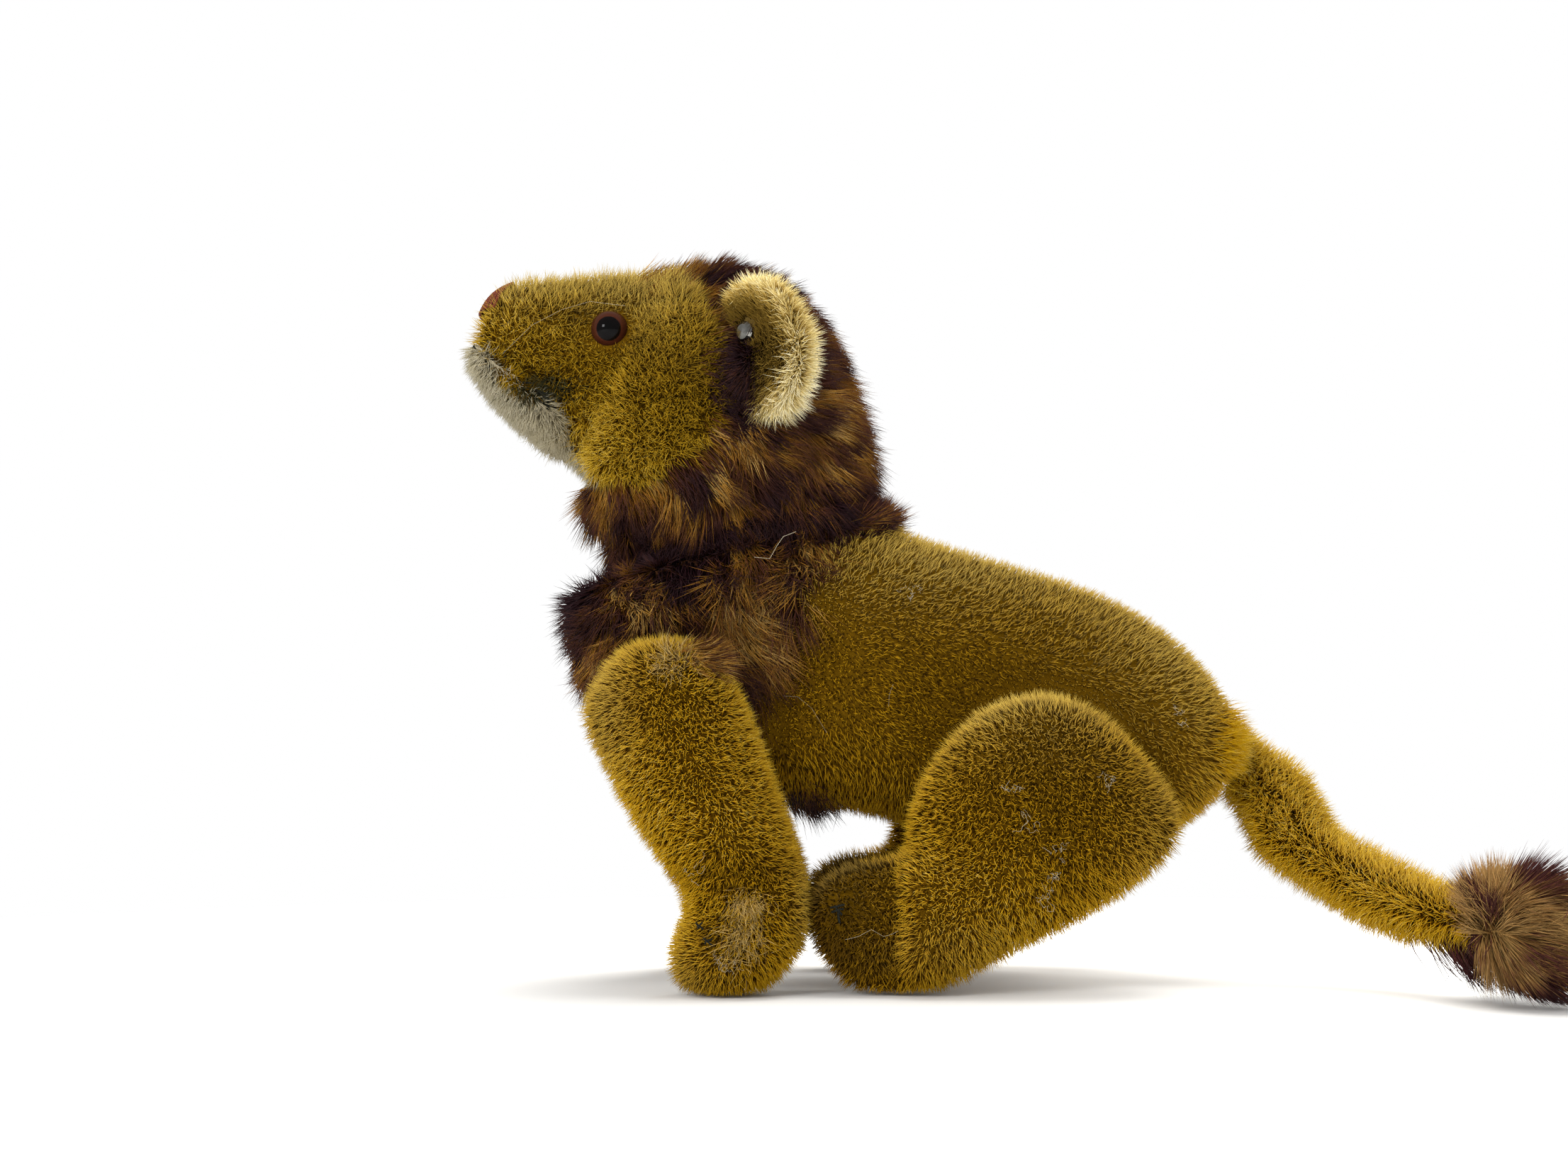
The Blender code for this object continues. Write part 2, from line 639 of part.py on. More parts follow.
def make_leg(leg):
    joint = leg["joint"]
    outer = leg_form(leg)
    drop = -SOLE_CUT - min(vertex.co.z for vertex in outer.vertices)
    outer = cut_leg(outer, leg, 0.0, drop)
    cavity = cut_leg(leg_form(leg, -CLOTH), leg, -CLOTH, drop)
    room = stack_room(joint, LEG_DISC_RADIUS, 1, INNER_FACE)
    cover = boolean(outer, [cavity, pin_hole(joint, 1)] + room)
    add_object(f"{leg['name']}_cover", cover, GOLD, joint)
    core = cut_leg(leg_form(leg, -CLOTH - GAP), leg, -CLOTH - GAP, drop)
    stuffing = boolean(core, stack_room(joint, LEG_DISC_RADIUS, 1))
    add_object(f"{leg['name']}_stuffing", stuffing, WOOL, joint)


# Manes

def head_mane_form(offset=0.0):
    mesh = form_mesh("head_mane_form", HEAD_MANE_RING_SHARES, HEAD_LENGTH, HEAD_HEIGHT,
                     MANE_HALF_WIDTH, NECK_POINT, offset)
    return boolean(mesh, [far_box(neck_joint.matrix_world, -1, offset - COVER_FACE)])


def make_head_mane():
    add_object("head_mane", boolean(head_mane_form(), [head_form(GAP)]), MANE, neck_joint)


def make_chest_mane():
    mane = form_mesh("chest_mane_form", CHEST_MANE_RING_SHARES, BODY_LENGTH, BACK_HEIGHT,
                     CHEST_MANE_HALF_WIDTH, ORIGIN)
    above = far_box(neck_joint.matrix_world, 1, -NECK_GROOVE)
    leg_top = FORE_LEG_LENGTH * (1 + FORE_LEG_RING_SHARES[0][1]) + LEG_TOP_CLEARANCE
    span = 2 * BODY_LENGTH
    sides = [box_mesh((-span, low, -span), (span, high, leg_top))
             for low, high in ((FLANK_HALF_WIDTH, span), (-span, -FLANK_HALF_WIDTH))]
    mesh = boolean(mane, [above, torso_form(GAP)] + sides)
    add_object("chest_mane", mesh, MANE, root)


def make_neck_thread():
    """The thread that gathers the body's cloth just under the neck seam, its ends apart."""
    skin = torso_form()
    frame = neck_joint.matrix_world
    top = -COVER_FACE
    low = top - 2 * NECK_THREAD_RADIUS - GAP
    path = []
    for step in range(NECK_THREAD_POINTS):
        angle = TURN * (0.5 + (step + 0.5) / (NECK_THREAD_POINTS + 1))
        outward = Vector((math.cos(angle), math.sin(angle), 0))
        reach = max(neck_reach(skin, frame, outward, level) for level in (top - GAP, low))
        reach += NECK_THREAD_RADIUS + GAP
        path.append(frame @ (outward * reach + Vector((0, 0, top - NECK_THREAD_RADIUS))))
    add_object("neck_gathering_thread", tube_mesh("thread", path, NECK_THREAD_RADIUS), PALE, root)


def neck_reach(skin, frame, outward, level):
    """How far a form reaches from the neck pin in one direction, at a level along the pin."""
    start = frame @ (outward * BODY_LENGTH + Vector((0, 0, level)))
    point, _ = surface_point(skin, start, -(frame.to_3x3() @ outward))
    return (frame.inverted() @ point).xy.length


# Face

def surface_point(mesh, start, direction):
    """Where a ray from a point first meets a closed mesh, and the surface's normal there."""
    build = bmesh.new()
    build.from_mesh(mesh)
    tree = BVHTree.FromBMesh(build)
    build.free()
    point, normal, _, _ = tree.ray_cast(start, direction)
    return point, normal


def ellipsoid_mesh(size, frame, segments=BALL_SEGMENTS):
    build = bmesh.new()
    bmesh.ops.create_uvsphere(build, u_segments=segments, v_segments=segments // 2 + 1, radius=1)
    bmesh.ops.scale(build, vec=size, verts=build.verts)
    bmesh.ops.triangulate(build, faces=build.faces)
    mesh = mesh_from(build, "ellipsoid")
    mesh.transform(frame)
    return mesh


def chin_form():
    return form_mesh("chin_form", CHIN_RING_SHARES, HEAD_LENGTH, HEAD_HEIGHT,
                     HEAD_HALF_WIDTH, NECK_POINT)


def head_place(shares, side=0):
    """A point beside the head, a body's length out from its middle plane."""
    along, up = shares
    return NECK_POINT + Vector((along * HEAD_LENGTH, side * BODY_LENGTH, up * HEAD_HEIGHT))


def make_chin(mouth):
    room = tube_mesh("mouth_room", mouth, MOUTH_THREAD_RADIUS + GAP)
    chin = boolean(chin_form(), [head_form(GAP), head_mane_form(GAP), room])
    add_object("chin_inset", chin, WHITE, neck_joint)


def eye_places(head_skin):
    """The two eye centres, just inside the face, with the way that each looks out."""
    places = []
    for side_name, side in (("left", -1), ("right", 1)):
        start = head_place(EYE_PLACE_SHARES, side)
        point, normal = surface_point(head_skin, start, Vector((0, -side, 0)))
        places.append((side_name, point - normal * EYE_SINK, normal))
    return places


def eye_frame(centre, look):
    return Matrix.Translation(centre) @ look.to_track_quat("Z", "Y").to_matrix().to_4x4()


def make_eyes(places):
    for side_name, centre, look in places:
        frame = eye_frame(centre, look)
        ball = ellipsoid_mesh([EYE_RADIUS] * 3, frame)
        add_object(f"{side_name}_eye", ball, GLASS, neck_joint)
        wire = tube_mesh("eye_wire", eye_wire_path(), EYE_WIRE_RADIUS)
        wire.transform(frame)
        add_object(f"{side_name}_eye_wire", wire, STEEL, neck_joint)


def eye_wire_path():
    """A hairpin: up one leg, round the loop behind the glass, and down the other leg."""
    reach = EYE_RADIUS + GAP + EYE_WIRE_RADIUS
    loop = arc((0, -reach - EYE_LOOP_RADIUS), EYE_LOOP_RADIUS, -0.12, 0.62, PIN_EYE_STEPS)
    foot = -reach - EYE_WIRE_LENGTH
    half = EYE_WIRE_RADIUS + GAP / 2
    return [Vector((half, 0, foot))] + loop + [Vector((-half, 0, foot))]


def eye_sockets(places):
    return [ellipsoid_mesh([EYE_RADIUS + GAP] * 3, eye_frame(centre, look))
            for _, centre, look in places]


def wire_rooms(places):
    depth = EYE_RADIUS + GAP + EYE_WIRE_LENGTH + CUT_OVERRUN
    radius = EYE_LOOP_RADIUS + EYE_WIRE_RADIUS + PIN_CLEARANCE
    return [cylinder_mesh(radius, -depth, 0, eye_frame(centre, look), WASHER_SEGMENTS)
            for _, centre, look in places]


def make_nose():
    start = head_place((-1, NOSE_HEIGHT_SHARE))
    point, normal = surface_point(head_form(), start, Vector((1, 0, 0)))
    size = (NOSE_WIDTH / 2, NOSE_LENGTH / 2, NOSE_THICKNESS / 2)
    pad = ellipsoid_mesh(size, eye_frame(point, normal))
    add_object("nose_stitching", boolean(pad, [head_form(GAP)]), RUST, neck_joint)


def mouth_path():
    """From the left corner of the mouth round the muzzle to the right corner."""
    skin = boolean(head_form(), [chin_form()], "UNION")
    corner_x, corner_height = MOUTH_CORNER_SHARES
    path = []
    for step in range(-MOUTH_STEPS, MOUTH_STEPS + 1):
        turn = step / MOUTH_STEPS
        height = MOUTH_FRONT_HEIGHT_SHARE + (corner_height - MOUTH_FRONT_HEIGHT_SHARE) * abs(turn)
        outward = Vector((-math.cos(TURN / 4 * turn), math.sin(TURN / 4 * turn), 0))
        start = head_place((corner_x, height)) + outward * HEAD_LENGTH
        point, normal = surface_point(skin, start, -outward)
        path.append(point + normal * (MOUTH_THREAD_RADIUS + GAP))
    return path


def make_mouth(mouth):
    thread = tube_mesh("mouth", mouth, MOUTH_THREAD_RADIUS)
    add_object("mouth_stitching", thread, BLACK, neck_joint)


# Ears

def make_ears():
    """Two cupped flaps sewn to the sides of the mane; the left one carries the stud."""
    mane_skin = head_mane_form()
    for side_name, side in (("left", -1), ("right", 1)):
        start = head_place(EAR_PLACE_SHARES, side)
        base, _ = surface_point(mane_skin, start, Vector((0, -side, 0)))
        frame = (Matrix.Translation(base) @ Matrix.Rotation(side * EAR_SPLAY, 4, "Z")
                 @ Matrix.Rotation(-EAR_LEAN, 4, "Y"))
        size = (EAR_WIDTH / 2, EAR_THICKNESS / 2, EAR_LENGTH / 2)
        flap = ellipsoid_mesh(size, Matrix(), EAR_SEGMENTS)
        for vertex in flap.vertices:
            vertex.co.y += side * (EAR_STAND + ear_bend(vertex.co.x))
        flap.transform(frame)
        cuts = [make_stud(frame, side)] if side_name == STUD_SIDE else []
        cuts.append(head_mane_form(GAP))
        add_object(f"{side_name}_ear", boolean(flap, cuts), CREAM, neck_joint)


def ear_bend(across):
    """How far the flap bends outwards, more and more from its sewn front edge to its rim."""
    return EAR_CUP * (across / EAR_WIDTH + 0.5) ** 2


def make_stud(ear_frame, side):
    """A plain domed stud through the ear, its washer behind, and the hole that it needs."""
    middle = Vector((STUD_ACROSS, side * (EAR_STAND + ear_bend(STUD_ACROSS)), STUD_UP))
    slope = math.atan(2 * EAR_CUP / EAR_WIDTH * (STUD_ACROSS / EAR_WIDTH + 0.5))
    out = Vector((0, side, 0)).to_track_quat("Z", "X").to_matrix().to_4x4()
    lean = Matrix.Rotation(side * slope, 4, "Z")
    frame = ear_frame @ Matrix.Translation(middle) @ lean @ out
    axis = bpy.data.objects.new("stud_axis", None)
    lion.objects.link(axis)
    axis.parent = neck_joint
    axis.matrix_local = neck_joint.matrix_world.inverted() @ frame
    bpy.context.view_layer.update()
    face = EAR_THICKNESS / 2 + GAP
    washer_low = -face - STUD_WASHER_THICKNESS
    post_end = washer_low - GAP
    profile = [(0, face + STUD_DOME)]
    for step in range(1, STUD_DOME_STEPS + 1):
        angle = TURN / 4 * step / STUD_DOME_STEPS
        profile.append((STUD_RADIUS * math.sin(angle), face + STUD_DOME * math.cos(angle)))
    profile += [(STUD_POST_RADIUS, face), (STUD_POST_RADIUS, post_end), (0, post_end)]
    turned_object("ear_stud", profile, ROUND_SEGMENTS, NICKEL, axis, closed=False)
    bore = STUD_POST_RADIUS + GAP
    turned_object("ear_stud_washer", ring_profile(STUD_WASHER_RADIUS, bore, washer_low, -face),
                  WASHER_SEGMENTS, NICKEL, axis)
    return cylinder_mesh(bore, -face - CUT_OVERRUN, face + CUT_OVERRUN, frame, WASHER_SEGMENTS)


# Tail

def tail_path():
    return [Vector((x * BODY_LENGTH, swing * TORSO_HALF_WIDTH, z * BACK_HEIGHT))
            for x, z, swing, _ in TAIL_PATH_SHARES]


def tail_tube(radius, path):
    """A tube along the tail's path, its radius less than the tail's own by one depth."""
    radii = [(TAIL_RADIUS * share[3] - TAIL_RADIUS + radius) / radius for share in TAIL_PATH_SHARES]
    return tube_mesh("tail", path, radius, 2, radii)


def shortened(path, by):
    end = path[-1] + (path[-2] - path[-1]).normalized() * by
    return path[:-1] + [end]


def tail_wire_path():
    path = shortened(tail_path(), CLOTH + 2 * GAP)
    root_end = path[0] + (path[0] - path[1]).normalized() * TAIL_WIRE_ROOT
    return [root_end] + path


def tail_wire_room():
    path = tail_wire_path()
    path[0] += (path[0] - path[1]).normalized() * GAP
    path[-1] += (path[-1] - path[-2]).normalized() * GAP
    return tube_mesh("wire_room", path, TAIL_WIRE_RADIUS + GAP)


def make_tail():
    path = tail_path()
    rump = torso_form(GAP)
    cavity = tail_tube(TAIL_RADIUS - CLOTH, shortened(path, CLOTH))
    cover = boolean(tail_tube(TAIL_RADIUS, path), [cavity, rump])
    add_object("tail_cover", cover, GOLD, root)
    core = tail_tube(TAIL_RADIUS - CLOTH - GAP, shortened(path, CLOTH + GAP))
    add_object("tail_stuffing", boolean(core, [rump, tail_wire_room()]), WOOL, root)
    wire = tube_mesh("tail_wire", tail_wire_path(), TAIL_WIRE_RADIUS)
    add_object("tail_wire", wire, STEEL, root)
    way = (path[-1] - path[-2]).normalized()
    steps = len(TASSEL_STATION_SHARES) - 1
    tassel = [path[-1] + way * (GAP + TASSEL_LENGTH * step / steps) for step in range(steps + 1)]
    mesh = tube_mesh("tassel", tassel, TASSEL_RADIUS, 2, list(TASSEL_STATION_SHARES))
    add_object("tail_tassel", mesh, MANE, root)


def place_on_box():
    """Move the root so that the origin is at the middle of the whole box's underside."""
    bpy.context.view_layer.update()
    graph = bpy.context.evaluated_depsgraph_get()
    corners = []
    for part in lion.objects:
        if part.type == "MESH":
            ready = part.evaluated_get(graph)
            corners += [part.matrix_world @ vertex.co for vertex in ready.data.vertices]
    low = Vector(min(corner[axis] for corner in corners) for axis in range(3))
    high = Vector(max(corner[axis] for corner in corners) for axis in range(3))
    root.location = (-(low.x + high.x) / 2, -(low.y + high.y) / 2, 0)
    bpy.context.view_layer.update()
    print("box", tuple(round(value, 4) for value in high - low))


make_torso([leg["joint"] for leg in legs])
eyes = eye_places(head_form())
make_head(eyes)
for leg in legs:
    make_leg(leg)
    disc_joint(leg["name"], leg["joint"], leg["fixed"], LEG_DISC_RADIUS)
disc_joint("neck", neck_joint, neck_body_side, NECK_DISC_RADIUS)
make_head_mane()
make_chest_mane()
make_neck_thread()
mouth = mouth_path()
make_chin(mouth)
make_mouth(mouth)
make_eyes(eyes)
make_nose()
make_ears()
make_tail()
place_on_box()
for joint in [neck_joint] + [leg["joint"] for leg in legs]:
    print(joint.name, tuple(round(value, 5) for value in joint.matrix_world.translation))
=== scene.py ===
import json
import math
import random

import bmesh
import bpy
from mathutils import Matrix, Vector, noise
from mathutils.bvhtree import BVHTree


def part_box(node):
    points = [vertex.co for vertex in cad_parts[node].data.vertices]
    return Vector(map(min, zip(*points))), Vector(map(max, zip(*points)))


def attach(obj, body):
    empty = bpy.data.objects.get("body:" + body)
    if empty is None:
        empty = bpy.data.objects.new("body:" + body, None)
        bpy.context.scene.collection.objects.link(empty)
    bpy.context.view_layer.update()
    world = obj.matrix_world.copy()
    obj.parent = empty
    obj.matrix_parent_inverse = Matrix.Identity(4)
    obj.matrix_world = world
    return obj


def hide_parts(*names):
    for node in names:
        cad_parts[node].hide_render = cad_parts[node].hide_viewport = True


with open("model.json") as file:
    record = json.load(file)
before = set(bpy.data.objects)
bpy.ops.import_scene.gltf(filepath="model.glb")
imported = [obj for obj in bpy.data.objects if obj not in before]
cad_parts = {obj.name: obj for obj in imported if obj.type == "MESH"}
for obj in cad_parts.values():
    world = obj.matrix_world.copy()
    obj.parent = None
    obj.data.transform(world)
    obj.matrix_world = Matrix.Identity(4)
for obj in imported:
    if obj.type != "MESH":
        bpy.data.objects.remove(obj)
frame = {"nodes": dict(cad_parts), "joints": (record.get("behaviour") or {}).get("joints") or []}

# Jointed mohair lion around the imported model. The lion faces -X, its left side is -Y.

noise.seed_set(7)                              # without a seed the vector noise differs each run
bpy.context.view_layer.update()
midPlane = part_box("neck_split_pin")[0].lerp(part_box("neck_split_pin")[1], 0.5).y
joints = {joint["child"]: joint for joint in frame["joints"]}
neckPoint = Vector(joints["head"]["pos_m"])
neckAxis = Vector(joints["head"]["axis"])
legNames = ("left_fore_leg", "right_fore_leg", "left_hind_leg", "right_hind_leg")
pins = {leg: Vector(joints[leg]["pos_m"]) for leg in legNames}
sideAxis = {leg: Vector((0, -1 if leg.startswith("left") else 1, 0)) for leg in legNames}


def meshFrom(name, build):
    mesh = bpy.data.meshes.new(name)
    build.to_mesh(mesh)
    build.free()
    return mesh


def linked(name, data):
    piece = bpy.data.objects.new(name, data)
    bpy.context.scene.collection.objects.link(piece)
    return piece


def handIn(pieces, body, nodes=()):
    # each piece rides on the body; the CAD nodes that the pieces stand in for are hidden
    for piece in pieces:
        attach(piece, body)
    if nodes:
        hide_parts(*nodes)


# Nodes

def bothWays(operation):
    # an operator with the socket as its first and as its second side
    return (lambda self, other: self.join(operation, self, other),
            lambda self, other: self.join(operation, other, self))


class Wire:                                    # an output socket with arithmetic
    def __init__(self, nodes, socket):
        self.nodes = nodes
        self.socket = socket
        self.isVector = socket.type in ("VECTOR", "RGBA")

    def join(self, operation, first, second):
        vectors = [isinstance(side, tuple) or getattr(side, "isVector", False) for side in (first, second)]
        if not any(vectors):
            return self.nodes.make("ShaderNodeMath", {"operation": operation}, {0: first, 1: second})
        if all(vectors) or operation != "MULTIPLY":
            return self.nodes.make("ShaderNodeVectorMath", {"operation": operation}, {0: first, 1: second})
        vector, factor = (first, second) if vectors[0] else (second, first)
        return self.nodes.make("ShaderNodeVectorMath", {"operation": "SCALE"}, {0: vector, "Scale": factor})

    __add__, __radd__ = bothWays("ADD")
    __sub__, __rsub__ = bothWays("SUBTRACT")
    __mul__, __rmul__ = bothWays("MULTIPLY")
    __truediv__, __rtruediv__ = bothWays("DIVIDE")
    __pow__, __rpow__ = bothWays("POWER")


class Nodes:                                   # a shader or geometry tree
    def __init__(self, tree):
        self.tree = tree

    def make(self, kind, settings=None, inputs=None, out=0):
        node = self.tree.nodes.new(kind)
        for name, value in (settings or {}).items():
            if name == "stops":
                self.setStops(node.color_ramp, value)
            else:
                setattr(node, name, value)
        for key, value in (inputs or {}).items():
            live = [socket for socket in node.inputs if socket.enabled]
            self.feed(live[key] if isinstance(key, int) else [s for s in live if s.name == key][0], value)
        live = [socket for socket in node.outputs if socket.enabled]
        if not live:
            return None
        return Wire(self, live[out] if isinstance(out, int) else [s for s in live if s.name == out][0])

    def feed(self, socket, value):
        if isinstance(value, Wire):
            self.tree.links.new(value.socket, socket)
        else:
            socket.default_value = value

    def setStops(self, ramp, stops):
        while len(ramp.elements) < len(stops):
            ramp.elements.new(1.0)
        for element, (place, colour) in zip(ramp.elements, stops):
            element.position = place
            element.color = (*colour, 1.0)

    def other(self, wire, name):               # another output of the same node
        return Wire(self, [s for s in wire.socket.node.outputs if s.enabled and s.name == name][0])

    def place(self):
        return self.make("ShaderNodeTexCoord", out="Object")

    def speckle(self, place, scale, detail):
        return self.make("ShaderNodeTexNoise", None, {"Vector": place, "Scale": scale, "Detail": detail})

    def mix(self, share, first, second):
        return self.make("ShaderNodeMix", {"data_type": "RGBA"}, {"Factor": share, "A": first, "B": second})

    def bump(self, height, strength, depth):
        return self.make("ShaderNodeBump", None, {"Strength": strength, "Distance": depth, "Height": height})

    def attribute(self, name):
        return self.make("ShaderNodeAttribute", {"attribute_name": name}, out="Fac")


# Finishes

def newMaterial(name):
    material = bpy.data.materials.new(name)
    material.use_nodes = True
    return material, Nodes(material.node_tree), material.node_tree.nodes["Principled BSDF"]


def fillShader(nodes, shader, values):
    for name, value in values.items():
        nodes.feed(shader.inputs[name], value)


def pileMaterial(name, look):
    # a strand runs through the stops from root to tip; its tuft and the painted shade shift it along them
    material, nodes, shader = newMaterial(name)
    patches = nodes.speckle(nodes.place(), look["patchScale"], 3.0)
    stop = (nodes.attribute("along") * look["alongShare"] + look["start"]
            + (nodes.attribute("tint") - 0.5) * look["tintShift"]
            + (nodes.attribute("tuft") - 0.5) * look["tuftShift"] + (patches - 0.5) * look["patchShift"]
            + (nodes.attribute("shade") - 0.5) * look["shadeShift"])
    ramp = nodes.make("ShaderNodeValToRGB", {"stops": look["stops"]}, {0: stop})
    # mixed towards a dull tone: real dust, with painted top light and shade
    dustedAndLit = nodes.mix(nodes.attribute("dust") * look["dustAndLightShare"], ramp, (*look["dustAndLightColour"], 1.0))
    value = look["value"] + (nodes.attribute("tint") - 0.5) * look["tintAndHighlightValue"]
    bright = nodes.make("ShaderNodeHueSaturation", None, {"Value": value, "Color": dustedAndLit})
    fillShader(nodes, shader, {"Base Color": bright, "Roughness": look["roughness"],
                               "Specular IOR Level": look["gloss"]})
    return material


def backingMaterial(name, colour, darker):
    # woven backing cloth that shows between the strands
    material, nodes, shader = newMaterial(name)
    place = nodes.place()
    patches = nodes.speckle(place, 320.0, 4.0)
    threads = nodes.make("ShaderNodeTexVoronoi", None, {"Vector": place, "Scale": 2600.0})
    cloth = nodes.mix(patches, (*darker, 1.0), (*colour, 1.0))
    fillShader(nodes, shader, {"Base Color": cloth, "Normal": nodes.bump(threads, 0.6, 0.0003),
                               "Roughness": 0.95, "Specular IOR Level": 0.05})
    return material


def threadMaterial(name, colour, darker, roughness):
    # twisted thread: fine bands of painted light and shade along it, for the grooves of its twist
    material, nodes, shader = newMaterial(name)
    bands = nodes.make("ShaderNodeTexWave", {"wave_type": "BANDS", "bands_direction": "DIAGONAL"},
                       {"Vector": nodes.place(), "Scale": 900.0, "Distortion": 2.0, "Detail": 1.0}, out="Fac")
    twist = nodes.mix(bands, (*darker, 1.0), (*colour, 1.0))
    fillShader(nodes, shader, {"Base Color": twist, "Normal": nodes.bump(bands, 0.5, 0.0002),
                               "Roughness": roughness, "Specular IOR Level": 0.12})
    return material


def plainMaterial(name, colour, darker, roughness, metallic, scale):
    # grainy metal or board
    material, nodes, shader = newMaterial(name)
    grain = nodes.speckle(nodes.place(), scale, 4.0)
    base = nodes.mix(grain, (*darker, 1.0), (*colour, 1.0))
    fillShader(nodes, shader, {"Base Color": base, "Roughness": roughness + (grain - 0.5) * 0.25,
                               "Normal": nodes.bump(grain, 0.2, 0.0001), "Metallic": metallic})
    return material


# the gold, face, white and ear stops run from dark roots to light tips: painted shade deep in the pile and
# painted light along the outlines, over the mohair's own colour
goldLook = {
    "stops": ((0.0, (0.095, 0.042, 0.0005)), (0.42, (0.42, 0.215, 0.0015)), (0.8, (0.62, 0.37, 0.012)),
              (1.0, (0.80, 0.59, 0.15))),
    "alongShare": 0.80, "start": 0.08, "patchScale": 60.0, "tintShift": 0.22, "tuftShift": 0.22,
    "patchShift": 0.30, "shadeShift": -0.75, "dustAndLightShare": 0.70, "dustAndLightColour": (0.42, 0.31, 0.085),
    "value": 1.0, "tintAndHighlightValue": 0.30, "roughness": 0.8, "gloss": 0.04,
}
faceLook = dict(goldLook, patchShift=0.45, stops=(
    (0.0, (0.085, 0.042, 0.001)), (0.42, (0.37, 0.205, 0.004)), (0.8, (0.57, 0.37, 0.030)),
    (1.0, (0.77, 0.60, 0.20))))
# in the mane the large strand-to-strand value spread lightens single strands as painted highlights on shiny
# hairs, beside their own tone
maneLook = {
    "stops": ((0.0, (0.52, 0.32, 0.10)), (0.20, (0.37, 0.185, 0.028)), (0.44, (0.22, 0.090, 0.009)),
              (0.64, (0.075, 0.024, 0.012)), (1.0, (0.020, 0.006, 0.008))),
    "alongShare": 0.66, "start": 0.10, "patchScale": 190.0, "tintShift": 0.32, "tuftShift": 0.80,
    "patchShift": 0.35, "shadeShift": 1.05, "dustAndLightShare": 0.0, "dustAndLightColour": (0.40, 0.23, 0.09),
    "value": 1.0, "tintAndHighlightValue": 0.9, "roughness": 0.55, "gloss": 0.16,
}
tasselLook = dict(
    maneLook, alongShare=0.52, start=0.04, patchShift=0.2, tuftShift=0.30, tintShift=0.22, stops=(
    (0.0, (0.26, 0.15, 0.045)), (0.34, (0.36, 0.21, 0.070)), (0.54, (0.25, 0.125, 0.035)),
    (0.68, (0.085, 0.024, 0.018)), (1.0, (0.034, 0.008, 0.009))))
whiteLook = dict(goldLook, dustAndLightShare=0.5, dustAndLightColour=(0.42, 0.35, 0.20), patchShift=0.2, stops=(
    (0.0, (0.21, 0.175, 0.10)), (0.45, (0.40, 0.355, 0.235)), (1.0, (0.62, 0.565, 0.44))))
earLook = dict(goldLook, patchShift=0.2, stops=(
    (0.0, (0.12, 0.070, 0.010)), (0.4, (0.42, 0.27, 0.055)), (0.72, (0.80, 0.64, 0.26)),
    (1.0, (0.98, 0.90, 0.62))))
pawLook = dict(maneLook, start=0.0, alongShare=0.25, tuftShift=0.4, patchShift=0.2, stops=(
    (0.0, (0.52, 0.36, 0.12)), (0.4, (0.38, 0.23, 0.035)), (0.8, (0.22, 0.12, 0.012)),
    (1.0, (0.10, 0.05, 0.005))))
mouthLook = dict(goldLook, dustAndLightShare=0.0, stops=((0.0, (0.010, 0.011, 0.006)), (1.0, (0.075, 0.070, 0.028))))

goldPile = pileMaterial("goldMohair", goldLook)
facePile = pileMaterial("faceMohair", faceLook)
manePile = pileMaterial("maneMohair", maneLook)
tasselPile = pileMaterial("tasselMohair", tasselLook)
whitePile = pileMaterial("whiteMohair", whiteLook)
earPile = pileMaterial("earMohair", earLook)
pawPile = pileMaterial("pawMohair", pawLook)
mouthPile = pileMaterial("mouthFuzz", mouthLook)
# the gold backing's dark colour is partly painted shade, so the gaps between the strands read dark
goldBacking = backingMaterial("goldBacking", (0.15, 0.076, 0.002), (0.085, 0.042, 0.001))
maneBacking = backingMaterial("maneBacking", (0.075, 0.030, 0.010), (0.030, 0.011, 0.006))
whiteBacking = backingMaterial("whiteBacking", (0.40, 0.35, 0.24), (0.26, 0.22, 0.14))
earBacking = backingMaterial("earBacking", (0.17, 0.11, 0.03), (0.09, 0.055, 0.012))
rustThread = threadMaterial("rustThread", (0.23, 0.062, 0.028), (0.075, 0.020, 0.012), 0.8)
blackThread = threadMaterial("blackThread", (0.016, 0.016, 0.010), (0.005, 0.005, 0.004), 0.6)
paleThread = threadMaterial("paleThread", (0.62, 0.58, 0.50), (0.36, 0.32, 0.26), 0.8)
lintFibre = threadMaterial("lintFibre", (0.50, 0.45, 0.34), (0.34, 0.29, 0.20), 0.9)
steelWire = plainMaterial("steelWire", (0.55, 0.54, 0.52), (0.32, 0.31, 0.29), 0.35, 1.0, 700.0)
hardboard = plainMaterial("hardboard", (0.34, 0.22, 0.12), (0.20, 0.12, 0.06), 0.8, 0.0, 900.0)
studMetal = plainMaterial("studMetal", (0.42, 0.41, 0.38), (0.07, 0.07, 0.06), 0.22, 1.0, 700.0)
print("finishes made")


# Skins: each stuffed form is rebuilt from its solids, smoothed, and taken in to where its pile is rooted

skinMaking = {"weld": 0.000002, "factor": 0.5, "lastSmooth": 4}
legPlug = {"clear": 0.0004, "radius": 0.0070, "depth": 0.010}
neckPlug = {"clear": 0.0004, "radius": 0.0130, "depth": 0.012}


def copyMeshes(*nodeNames):
    return [frame["nodes"][nodeName].data.copy() for nodeName in nodeNames]


def joinedObject(name, meshes):
    build = bmesh.new()
    for mesh in meshes:
        build.from_mesh(mesh)
    bmesh.ops.remove_doubles(build, verts=build.verts, dist=skinMaking["weld"])
    return linked(name, meshFrom(name, build))


